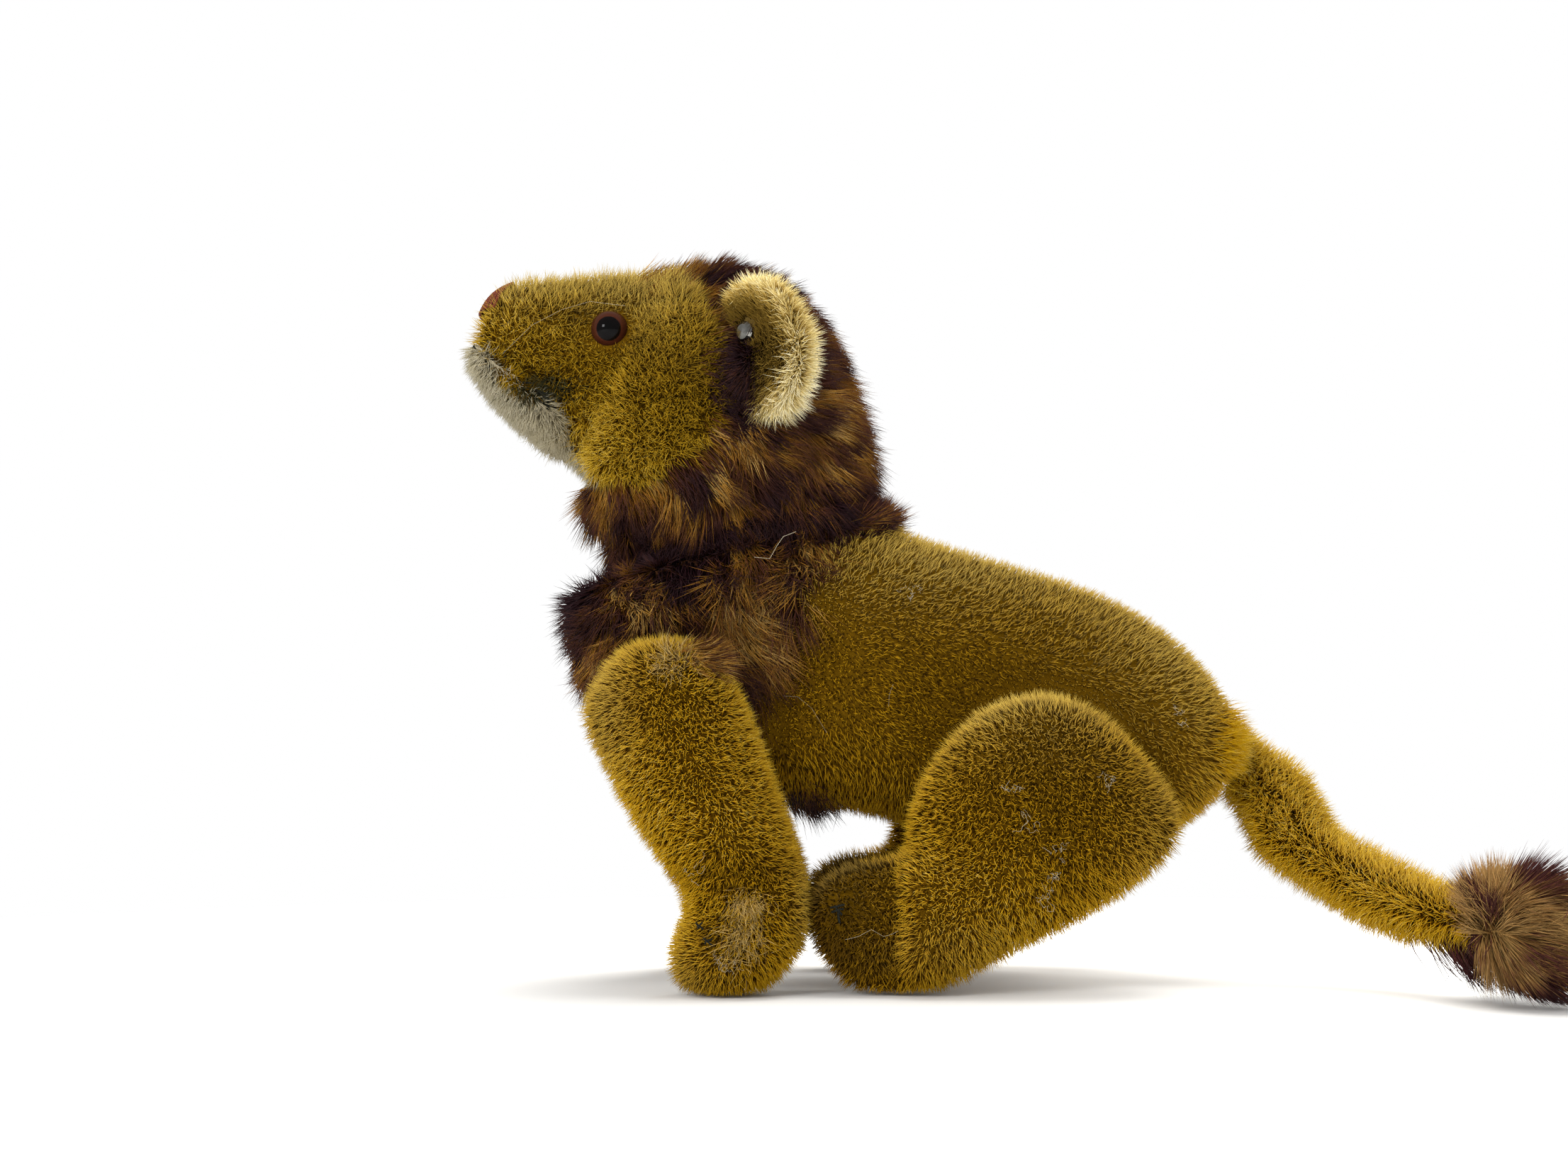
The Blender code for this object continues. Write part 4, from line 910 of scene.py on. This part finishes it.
def faceCover(white):
    def cover(point, normal):
        if upNeck(point) < bare["neck"] or distanceTo("head_mane", point) < bare["mane"]:
            return 0.0
        if distanceTo("chin_inset", point) < bare["chin"] and normal.z < 0.5 or inZone(point, crownZone, 8.0):
            return 0.0
        return 1.0 if bareFace(point) and onWhite(point) == white else 0.0
    return cover


def faceSize(point, normal):
    nearEye = 0.30 + eyeGap(point) / 0.0055
    nearNose = 0.42 + (distanceTo("nose_stitching", point) - 0.0015) / 0.005
    return max(0.25, min(1.0, nearEye, nearNose))


def faceComb(point, normal):
    away = point - noseCentre
    return Vector((0.9, 0.0, -0.10)) + Vector((0.0, away.y * 20.0, away.z * 12.0))


headMeshes = copyMeshes("head_cover", "head_stuffing") + [plugMesh(neckPoint, neckAxis, neckPlug)]
headMeshes += copyMeshes("left_eye", "left_eye_wire", "right_eye", "right_eye_wire")
headSkin = makeSkin("headSkin", headMeshes, dict(headSkinSet, shape=headShape))
headPile = growPile("headPile", headSkin, facePileSet, faceCover(False), faceComb, faceSize, faceShade,
                    faceDustAndLight)
handIn((headSkin, headPile), "head", ("head_cover", "head_stuffing"))

chinSkinSet = {"voxel": 0.0007, "smooth": 6, "inset": 0.0009, "backing": whiteBacking}
chinPileSet = dict(facePileSet, strands=9000, length=0.0042, lean=0.42, spread=0.30, clump=0.4, curl=0.4,
                   seed=51, material=whitePile)
# the white of the chin is dulled towards a tan grey, most low on the chin
chinDulling = shaded(((780, 620, 50, 60, 0.6),), 0.15)


def lipShape(point, normal):
    return Vector() if inZone(point, whiteZone) else normal * -0.0016


def chinCover(white):
    return lambda point, normal: 1.0 if onWhite(point) == white and bareFace(point) else 0.0


chinSkin = makeSkin("chinSkin", copyMeshes("chin_inset"), dict(chinSkinSet, shape=lipShape))
chinPile = growPile("chinPile", chinSkin, chinPileSet, chinCover(True), combed(0.7, 0.0, -0.7), dust=chinDulling)
lipPile = growPile("lipPile", chinSkin, dict(facePileSet, strands=1500, seed=56), chinCover(False),
                   combed(0.8, 0.0, -0.3), shade=faceShade)
jawPile = growPile("jawPile", headSkin, dict(chinPileSet, strands=3000, seed=58), faceCover(True),
                   combed(0.7, 0.0, -0.7), dust=chinDulling)
handIn((chinSkin, chinPile, jawPile), "head", ("chin_inset",))
handIn((lipPile,), "head")
print("head made")


# Manes

maneSkinSet = {"voxel": 0.0015, "smooth": 10, "inset": 0.0040, "backing": maneBacking}
manePileSet = {"strands": 11000, "length": 0.0125, "thickness": 0.00039, "lean": 0.58, "spread": 0.20,
               "perClump": 15.0, "clump": 0.88, "curl": 1.2, "curlScale": 150.0, "droop": 0.10,
               "segments": 2, "seed": 61, "tuftSeed": 5, "material": manePile}
# partly the mane's own tan and dark-tipped tufts, partly painted shade low on the mane towards the seam
maneSpots = ((1034, 542, 29, 55, 0.42), (1179, 584, 46, 53, -0.22), (1225, 531, 20, 94, 0.34),
             (987, 405, 66, 14, 0.30), (1010, 369, 77, 13, -0.30), (1050, 612, 12, 34, -0.40),
             (962, 745, 54, 16, 0.40), (1130, 690, 90, 40, 0.10), (1200, 573, 10, 38, 0.30),
             (1172, 675, 66, 15, 0.30), (1095, 748, 100, 18, 0.42), (1150, 647, 44, 15, -0.18),
             (1128, 387, 29, 22, 0.34), (1248, 708, 22, 27, 0.30))
underShort = 0.0022                            # how far a skin comes up again under short pile


def onMane(point, normal, node):
    return min(distanceTo(node, point + normal * depth) for depth in (0.0018, maneSkinSet["inset"])) < 0.0016


def cheekShape(point, normal):
    # under the bare cheek the skin stays near the surface, because the pile there is short
    if inZone(point, faceZone):
        return normal * underShort
    return neckFlush(point, normal, -1, maneSkinSet["inset"])


def maneCover(point, normal):
    return 1.0 if onMane(point, normal, "head_mane") and not onFace(point) else 0.0


def cheekCover(point, normal):
    return 1.0 if onMane(point, normal, "head_mane") and onFace(point) and not onWhite(point) else 0.0


def throatCover(point, normal):
    return 1.0 if onWhite(point) else 0.0


def maneComb(point, normal):
    # back from the face over the crown, and turning down towards the neck
    low = max(0.0, 1.0 - upNeck(point) / 0.048)
    wave = noise.noise_vector(point * 110.0) * 0.55
    return Vector((1.0 - 0.75 * low, 0.0, -0.25 - 0.9 * low)) + wave


def maneSize(point, normal):
    # shorter over the crown, at the throat and at the seam, so that the tips keep to the outline
    short = 0.42 * max(0.0, normal.z) + 0.35 * max(0.0, -normal.x) + 0.25 * max(0.0, normal.x)
    return (1.0 - short) * (1.0 - 0.30 * seamNear(point))


def growLayers(name, skin, pile, layers, cover, comb, size, spots, plain):
    # layers of long pile with seeds of their own, with painted shade at the seam of the manes
    def shade(point, normal):
        return painted(point, spots, plain) + 0.60 * seamNear(point)

    return [growPile(name + str(layer + 1), skin, dict(pile, seed=pile["seed"] + 10 * layer), cover, comb,
                     size, shade) for layer in range(layers)]


maneSkin = makeSkin("maneSkin", headMeshes + copyMeshes("head_mane"), dict(maneSkinSet, shape=cheekShape))
maneSkin.data.materials.append(goldBacking)
for face in maneSkin.data.polygons:
    face.material_index = 1 if onFace(face.center) else 0
maneLayers = growLayers("manePile", maneSkin, manePileSet, 3, maneCover, maneComb, maneSize, maneSpots, 0.55)
handIn((maneSkin, *maneLayers), "head", ("head_mane",))
cheekPile = growPile("cheekPile", maneSkin, dict(facePileSet, strands=12500, length=0.0050, seed=95),
                     cheekCover, faceComb, shade=faceShade, dust=faceDustAndLight)
throatPile = growPile("throatPile", maneSkin, dict(chinPileSet, strands=1200, seed=97), throatCover,
                      combed(0.5, 0.0, -0.8), dust=chinDulling)
handIn((cheekPile,), "head")
handIn((throatPile,), "head")

chestPileSet = dict(manePileSet, strands=10400, seed=101, tuftSeed=9, length=0.0120, lean=0.50, spread=0.28,
                    perClump=12.0, curl=2.0, curlScale=170.0)
# partly the mane's own tan and dark patches, partly painted shade in its gaps and along its front
chestSpots = ((1054, 879, 55, 61, -0.30), (890, 824, 46, 31, -0.22), (790, 860, 40, 90, 0.22),
              (974, 783, 33, 33, 0.70), (960, 846, 17, 50, 0.40), (1060, 960, 40, 34, 0.45),
              (1033, 953, 27, 44, 0.30), (820, 854, 42, 38, 0.32), (1106, 763, 55, 20, -0.22),
              (1112, 885, 20, 66, 0.22), (940, 885, 66, 18, 0.30))
chestLengths = ((815, 800, 45, 34, 0.40), (800, 915, 50, 45, -0.40))


def collarShape(point, normal):
    # where the mane grows straight from the torso, its skin lies just under the surface
    if onNeckDisc(point) or onMane(point, normal, "chest_mane") or not onChest(point):
        return neckFlush(point, normal, 1, maneSkinSet["inset"])
    return normal * underShort


def chestCover(point, normal):
    return 1.0 if onChest(point) and not onNeckDisc(point) else 0.0


def chestSize(point, normal):
    # short on the collar and up the front, longer where the photograph shows it standing off
    length = 0.62 if -upNeck(point) < 0.008 and point.x > neckPoint.x else 1.0
    length -= 0.25 * max(0.0, -normal.x)
    if point.x < neckPoint.x:
        length -= 0.40 * max(0.0, normal.z)
    return (length + painted(point, chestLengths, 0.0)) * (1.0 - 0.30 * seamNear(point))


chestSkin = makeSkin("chestManeSkin", torsoMeshes + copyMeshes("chest_mane"),
                     dict(maneSkinSet, shape=collarShape))
chestLayers = growLayers("chestPile", chestSkin, chestPileSet, 2, chestCover,
                         wavy((0.30, 0.0, -0.80), 120.0, 0.85, Vector((3, 1, 4))), chestSize, chestSpots,
                         0.48)
handIn((chestSkin, *chestLayers), "torso", ("chest_mane",))

tasselSkinSet = {"voxel": 0.0010, "smooth": 8, "inset": 0.0060, "backing": maneBacking}
tasselPileSet = dict(manePileSet, strands=9800, length=0.0145, lean=0.72, spread=0.16, perClump=40.0,
                     clump=0.6, curl=0.5, seed=141, tuftSeed=148, material=tasselPile)


def alongTassel(point):
    return (point.x - tasselLow.x) / (tasselHigh.x - tasselLow.x)


def tasselShade(point, normal):
    # tan in the middle, dark along the top, the bottom and the loose end
    edge = 0.55 * max(0.0, normal.z - 0.25) + 0.75 * max(0.0, -normal.z - 0.15)
    edge += 0.35 * max(0.0, alongTassel(point) - 0.45)
    return 0.43 + edge + 0.20 * noise.noise(point * 260.0)


def tasselSize(point, normal):
    # longest at the loose end
    return 0.55 + 0.50 * alongTassel(point)


tasselSkin = makeSkin("tasselSkin", copyMeshes("tail_tassel"), tasselSkinSet)
tassel = growPile("tasselPile", tasselSkin, tasselPileSet, always, combed(0.95, -0.30, -0.12), tasselSize,
                  tasselShade)
handIn((tasselSkin, tassel), "torso", ("tail_tassel",))
print("manes and tassel made")


# Tufts: small patches of other pile, placed by where the photograph shows them

tuftPile = dict(manePileSet, perClump=14.0, lean=0.40)
mouthFuzz = dict(facePileSet, strands=1000, length=0.0046, lean=0.25, spread=0.5, seed=271,
                 material=mouthPile)
pawTuft = dict(tuftPile, strands=230, length=0.0062, thickness=0.00026, spread=0.60, perClump=7.0, curl=1.6,
               seed=231, material=pawPile)


def plantTuft(name, skin, body, spot, comb, shade, pile):
    # spot is (u, v, reach across, reach down); a name with a side grows on the outer face of that side only
    spotU, spotV, reachU, reachV = spot
    outer = 1 if name.startswith("right") else -1 if name.startswith("left") else 0

    def cover(point, normal):
        if outer and normal.y * outer < 0.2:
            return 0.0
        u, v = pixelOf(point)
        return math.exp(-2.0 * (((u - spotU) / reachU) ** 2 + ((v - spotV) / reachV) ** 2))

    tuft = growPile(name, skin, pile, cover, combed(*comb), shade=shaded((), shade))
    handIn((tuft,), body)


plantTuft("earTuft", maneSkin, "head", (1030, 540, 30, 70), (0.50, 0.0, -0.45), 1.05,
          dict(tuftPile, strands=2700, length=0.0100, seed=201))
plantTuft("crownTuft", headSkin, "head", (948, 384, 50, 34), (1.0, 0.0, 0.15), 0.30,
          dict(tuftPile, strands=2500, length=0.0080, lean=0.62, spread=0.30, perClump=9.0, seed=205))
plantTuft("cheekTuft", maneSkin, "head", (1048, 606, 11, 26), (0.25, 0.0, -0.9), 0.10,
          dict(tuftPile, strands=260, length=0.0110, lean=0.45, seed=211))
plantTuft("tasselTuft", tailSkin, "torso", (2020, 1342, 44, 16), (0.66, 0.0, -0.75), 1.0,
          dict(tuftPile, strands=1900, length=0.0160, lean=0.80, seed=241, material=tasselPile))
plantTuft("tasselRuff", tasselSkin, "torso", (2094, 1258, 22, 44), (0.60, 0.0, 0.60), 0.42,
          dict(tuftPile, strands=1900, length=0.0090, lean=0.42, spread=0.45, seed=251, material=tasselPile))
plantTuft("tasselMark", tasselSkin, "torso", (2100, 1298, 18, 12), (1.0, 0.0, -0.15), 1.0,
          dict(tuftPile, strands=900, length=0.0090, lean=0.42, spread=0.15, perClump=40.0, seed=255,
               material=tasselPile))
plantTuft("napeTuft", chestSkin, "torso", (1228, 722, 30, 20), (0.60, 0.0, 0.12), 0.62,
          dict(tuftPile, strands=2400, length=0.0080, spread=0.35, seed=261))
for name, skin, seed in (("upperMouthFuzz", headSkin, 271), ("lowerMouthFuzz", chinSkin, 275)):
    plantTuft(name, skin, "head", (770, 548, 42, 17), (0.6, 0.0, 0.1), 0.5, dict(mouthFuzz, seed=seed))
plantTuft("rumpTuft", torsoSkin, "torso", (1745, 1050, 34, 50), (0.9, 0.0, -0.3), 0.44,
          dict(goldPileSet, strands=2500, length=0.0065, lean=0.35, spread=0.40, seed=281))
plantTuft("bellyTuft", torsoSkin, "torso", (1130, 1122, 34, 20), (0.45, 0.0, -0.9), 0.75,
          dict(tuftPile, strands=900, length=0.0074, lean=0.50, spread=0.4, seed=221))
for name, leg, spot in (("leftPawTuft", "left_fore_leg", (1050, 1312, 22, 38)),
                        ("rightPawTuft", "right_fore_leg", (1050, 1312, 22, 38)),
                        ("leftWristTuft", "left_fore_leg", (1056, 1268, 15, 11)),
                        ("leftShoulderTuft", "left_fore_leg", (950, 932, 22, 16))):
    plantTuft(name, legSkins[leg], leg, spot, (-0.15, 0.0, -0.9), 0.35, pawTuft)
plantTuft("leftManeEdge", legSkins["left_fore_leg"], "left_fore_leg", (1000, 896, 26, 24), (0.15, 0.0, -0.9),
          0.35, dict(tuftPile, strands=1000, length=0.0082, lean=0.50, spread=0.35, seed=291))
print("tufts made")


# Ears

earSkinSet = {"voxel": 0.0006, "smooth": 8, "inset": 0.0008, "backing": earBacking}
earPileSet = dict(goldPileSet, strands=10500, length=0.0068, thickness=0.00036, lean=0.46, spread=0.30,
                  perClump=9.0, clump=0.6, curl=0.6, curlScale=200.0, seed=151, material=earPile)
earTuftSet = dict(tuftPile, strands=1500, length=0.0085, lean=0.35, spread=0.40, seed=161)
earSet = {"root": 0.004, "drop": 0.001, "across": 0.0150, "up": 0.0160, "stud": 0.0033, "tuftStud": 0.0030}
studPlace = nodeCentre("ear_stud")


def makeEar(ear):
    root = Vector((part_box(ear)[0].x + earSet["root"], nodeCentre(ear).y, nodeCentre(ear).z - earSet["drop"]))

    def earPlace(point):
        # 0 at the root of the ear, 1 at its rim
        return math.hypot((point.x - root.x) / earSet["across"], (point.z - root.z) / earSet["up"])

    def comb(point, normal):
        return (point - root).normalized()

    def cover(point, normal):
        return 0.0 if (point - studPlace).length < earSet["stud"] or onEarFront(point) else 1.0

    def size(point, normal):
        nearStud = 0.25 + max(0.0, (point - studPlace).length - 0.003) / 0.005
        up = max(0.0, comb(point, normal).z)
        return min(nearStud, 0.50 + 0.50 * min(1.0, earPlace(point)) - 0.25 * up)

    def shade(point, normal):
        # painted shade in the cup of the ear, most near its root, and painted light on its rim; a little
        # darker where the pile points up
        inner = min(1.0, max(0.0, (0.90 - earPlace(point)) / 0.32))
        return 0.20 + 1.15 * inner + 0.18 * max(0.0, comb(point, normal).z)

    def frontCover(point, normal):
        return 1.0 if onEarFront(point) and (point - studPlace).length > earSet["tuftStud"] else 0.0

    skin = makeSkin(ear + "_flap", copyMeshes(ear), earSkinSet)
    pile = growPile(ear + "_pile", skin, earPileSet, cover, comb, size, shade)
    front = growPile(ear + "_tuft", skin, earTuftSet, frontCover, combed(0.35, 0.0, -0.5), shade=always)
    handIn((skin, pile), "head", (ear,))
    handIn((front,), "head")


for ear in ("left_ear", "right_ear"):
    makeEar(ear)
print("ears made")


# Eyes

eyeSet = {"pupil": 0.43, "iris": 0.80, "segments": 48, "forward": 0.02, "upward": -0.17}


def makeEyeMaterial():
    material, nodes, shader = newMaterial("brownGlass")
    away = nodes.attribute("away")
    flecks = nodes.speckle(nodes.place(), 1500.0, 2.0)
    ramp = nodes.make("ShaderNodeValToRGB", {"stops": (
        (0.0, (0.002, 0.002, 0.002)), (eyeSet["pupil"], (0.003, 0.002, 0.002)),
        (eyeSet["pupil"] + 0.04, (0.050, 0.013, 0.006)), (eyeSet["iris"], (0.036, 0.010, 0.005)),
        (1.0, (0.012, 0.004, 0.002)))}, {0: away + (flecks - 0.5) * 0.03})
    fillShader(nodes, shader, {"Base Color": ramp, "Roughness": 0.05, "Specular IOR Level": 0.08})
    return material


eyeGlass = makeEyeMaterial()
for eye, centre in eyeCentres.items():
    look = Vector((eyeSet["forward"], -1.0 if eye.startswith("left") else 1.0, eyeSet["upward"])).normalized()
    build = bmesh.new()
    bmesh.ops.create_uvsphere(build, u_segments=eyeSet["segments"], v_segments=eyeSet["segments"] // 2,
                              radius=eyeRadius)
    ball = linked(eye + "_ball", meshFrom(eye + "_ball", build))
    ball.data.transform(Matrix.Translation(centre))
    away = [(vertex.co - centre).angle(look) / (math.pi / 2) for vertex in ball.data.vertices]
    ball.data.attributes.new("away", "FLOAT", "POINT").data.foreach_set("value", away)
    ball.data.materials.append(eyeGlass)
    ball.data.shade_smooth()
    handIn((ball,), "head", (eye,))
print("eyes made")


# Stitches and threads

headTree = treeOf(headSkin.data)
legTrees = {leg: treeOf(skin.data) for leg, skin in legSkins.items()}
torsoTree = treeOf(torsoSkin.data)

# the nose wraps over the front corner of the muzzle: stitches laid side by side from above to below
noseSet = {"stitches": 25, "steps": 10, "inside": 0.0080, "sunk": 0.6, "side": 66.0, "above": 76.0,
           "below": -4.0, "radius": 0.00036, "lift": 0.0026, "from": 0.03}
noseCore = Vector((noseCentre.x + noseSet["inside"], midPlane,
                   noseCentre.z - noseSet["inside"] * noseSet["sunk"]))
nosePaths = []
for number in range(noseSet["stitches"]):
    share = number / (noseSet["stitches"] - 1) * 2.0 - 1.0
    low = noseSet["below"] * (1.0 - 0.5 * share * share)
    high = noseSet["above"] * (1.0 - 0.25 * share * share)
    turn = math.radians(noseSet["side"] * share)
    path = []
    for step in range(noseSet["steps"]):
        rise = math.radians(high - (high + low) * step / (noseSet["steps"] - 1))
        way = Vector((-math.cos(rise) * math.cos(turn), math.cos(rise) * math.sin(turn), math.sin(rise)))
        point, normal, _, _ = headTree.ray_cast(noseCore + way * noseSet["from"], -way)
        if point:
            path.append(point + normal * noseSet["lift"])
    if len(path) > 2:
        nosePaths.append(path)
nose = makeThreads("noseStitches", nosePaths, noseSet["radius"], rustThread)
handIn((nose,), "head", ("nose_stitching",))


def mirrored(paths):
    return [[Vector((point.x, 2 * midPlane - point.y, point.z)) for point in path] for path in paths]


stitchSet = {"steps": 5, "rise": 0.0005}


def laidMarks(marks, tree, lift):
    # short threads over a surface, each between two places in the photograph
    paths = []
    for startU, startV, endU, endV in marks:
        path = []
        for step in range(stitchSet["steps"]):
            share = step / (stitchSet["steps"] - 1)
            point, normal = underPixel(startU + (endU - startU) * share, startV + (endV - startV) * share,
                                       tree)
            if point:
                path.append(point + normal * (lift + stitchSet["rise"] * math.sin(math.pi * share)))
        if len(path) > 2:
            paths.append(path)
    return paths


# the mouth: a thread between the gold and the white pile, sunk in it
mouthSet = {"lift": 0.0024, "radius": 0.00034}
faceForm = joinedObject("faceForm", [headSkin.data, chinSkin.data])
faceTree = treeOf(faceForm.data)
bpy.data.objects.remove(faceForm)
mouthMarks = tuple(one + other for one, other in zip(whiteZone[1:6], whiteZone[2:6]))
mouthPaths = laidMarks(mouthMarks, faceTree, mouthSet["lift"])
mouth = makeThreads("mouthStitches", mouthPaths + mirrored(mouthPaths), mouthSet["radius"], blackThread)
handIn((mouth,), "head", ("mouth_stitching",))

# loose black stitches: mouth corners and front, and the claws, as (u, v, u, v) in the photograph's pixels
blackMarks = {
    "cornerStitches": ("head", faceTree, 0.0036, 0.00022, (
        (745, 540, 778, 548), (749, 548, 785, 562), (742, 532, 765, 536), (760, 554, 792, 568),
        (755, 544, 775, 564), (764, 540, 786, 556), (770, 560, 790, 574), (750, 536, 772, 552),
        (762, 548, 784, 550), (732, 534, 752, 546), (736, 541, 760, 543), (742, 528, 756, 542),
        (728, 528, 744, 536), (768, 546, 792, 562), (772, 552, 788, 570), (672, 444, 678, 462),
        (677, 462, 686, 478), (702, 506, 718, 522), (704, 512, 714, 516))),
    "leftClaws": ("left_hind_leg", legTrees["left_hind_leg"], 0.0026, 0.00028, (
        (1176, 1282, 1194, 1279), (1178, 1288, 1192, 1283), (1186, 1286, 1188, 1300),
        (1182, 1280, 1190, 1290), (1160, 1243, 1176, 1236), (1162, 1239, 1178, 1241))),
    "leftPawMarks": ("left_fore_leg", legTrees["left_fore_leg"], 0.0032, 0.00022, (
        (995, 1305, 1003, 1314), (997, 1313, 1002, 1304), (1003, 1326, 1012, 1334),
        (1004, 1333, 1011, 1325))),
}
for name, (body, tree, lift, radius, marks) in blackMarks.items():
    paths = laidMarks(marks, tree, lift)
    laid = {name: (body, paths + mirrored(paths))}
    if body != "head":
        laid = {name: (body, paths),
                name.replace("left", "right"): (body.replace("left", "right"), mirrored(paths))}
    for pieceName, (pieceBody, piecePaths) in laid.items():
        handIn((makeThreads(pieceName, piecePaths, radius, blackThread, 6),), pieceBody)
print("stitches made")


# Lint and loose hairs, lying on the pile

hairs = (
    {"name": "muzzleHair", "body": "head", "tree": headTree, "lift": 0.0046, "radius": 0.000026,
     "path": ((725, 500), (760, 470), (800, 452), (840, 446), (880, 452))},
    {"name": "flankHair", "body": "torso", "tree": torsoTree, "lift": 0.0036, "radius": 0.00002,
     "path": ((1107, 983), (1130, 984), (1152, 1000), (1169, 1027))},
    {"name": "backHair", "body": "torso", "tree": torsoTree, "lift": 0.0036, "radius": 0.00002,
     "path": ((1253, 962), (1247, 978), (1246, 995))},
    {"name": "footHair", "body": "left_hind_leg", "tree": legTrees["left_hind_leg"], "lift": 0.0036,
     "radius": 0.00003,
     "path": ((1262, 1308), (1252, 1313), (1242, 1316), (1227, 1308), (1212, 1316), (1195, 1319))},
    {"name": "seamThread", "body": "torso", "tree": treeOf(chestSkin.data), "lift": 0.0090, "radius": 0.00006,
     "aimed": True, "path": ((1064, 786), (1086, 788), (1096, 770), (1105, 757), (1123, 750), (1140, 744),
                             (1155, 736), (1173, 716), (1213, 709), (1240, 707))},
)
for hairSet in hairs:
    path = []
    for u, v in hairSet["path"]:
        point, normal = underPixel(u, v, hairSet["tree"])
        if point:
            # an aimed thread is lifted towards the camera, out of the manes
            way = (cameraPlace - point).normalized() if "aimed" in hairSet else normal
            path.append(point + way * hairSet["lift"])
    hair = makeThreads(hairSet["name"], [path], hairSet["radius"], lintFibre, 4)
    handIn((hair,), hairSet["body"])

lintSet = {"radius": 0.00004, "lift": 0.0034, "wander": 0.0008, "fibres": 6, "steps": 6, "across": 9,
           "down": 12}
lintSpots = {"left_hind_leg": ((1430, 1122), (1452, 1160), (1484, 1235), (1476, 1262), (1488, 1200),
                              (1560, 1105)),
             "torso": ((1660, 1010), (1280, 840)), "left_fore_leg": ((985, 1220), (1030, 1358), (1020, 1350))}
lintTrees = dict(legTrees, torso=torsoTree)
chooser = random.Random(7)


def near(middle, reach):
    return middle + chooser.uniform(-reach, reach)


for body, spots in lintSpots.items():
    paths = []
    for u, v in spots:
        for fibre in range(lintSet["fibres"]):
            point, normal = underPixel(near(u, lintSet["across"]), near(v, lintSet["down"]), lintTrees[body])
            if not point:
                continue
            path = [point + normal * lintSet["lift"]]
            for step in range(lintSet["steps"]):
                stepWay = Vector(near(0.0, 1) for axis in range(3)) * lintSet["wander"]
                path.append(path[-1] + stepWay - normal * max(0.0, stepWay.dot(normal)))
            paths.append(path)
    handIn((makeThreads(body + "_lint", paths, lintSet["radius"], lintFibre, 3),), body)
print("lint and hairs laid")


# Carried nodes

finishes = {"disc": hardboard, "washer": steelWire, "pin": steelWire, "wire": steelWire, "thread": paleThread}
for name, node in frame["nodes"].items():
    finish = studMetal if "stud" in name else finishes.get(name.split("_")[-1])
    if finish:
        node.data.materials.clear()
        node.data.materials.append(finish)
print("carried nodes finished")
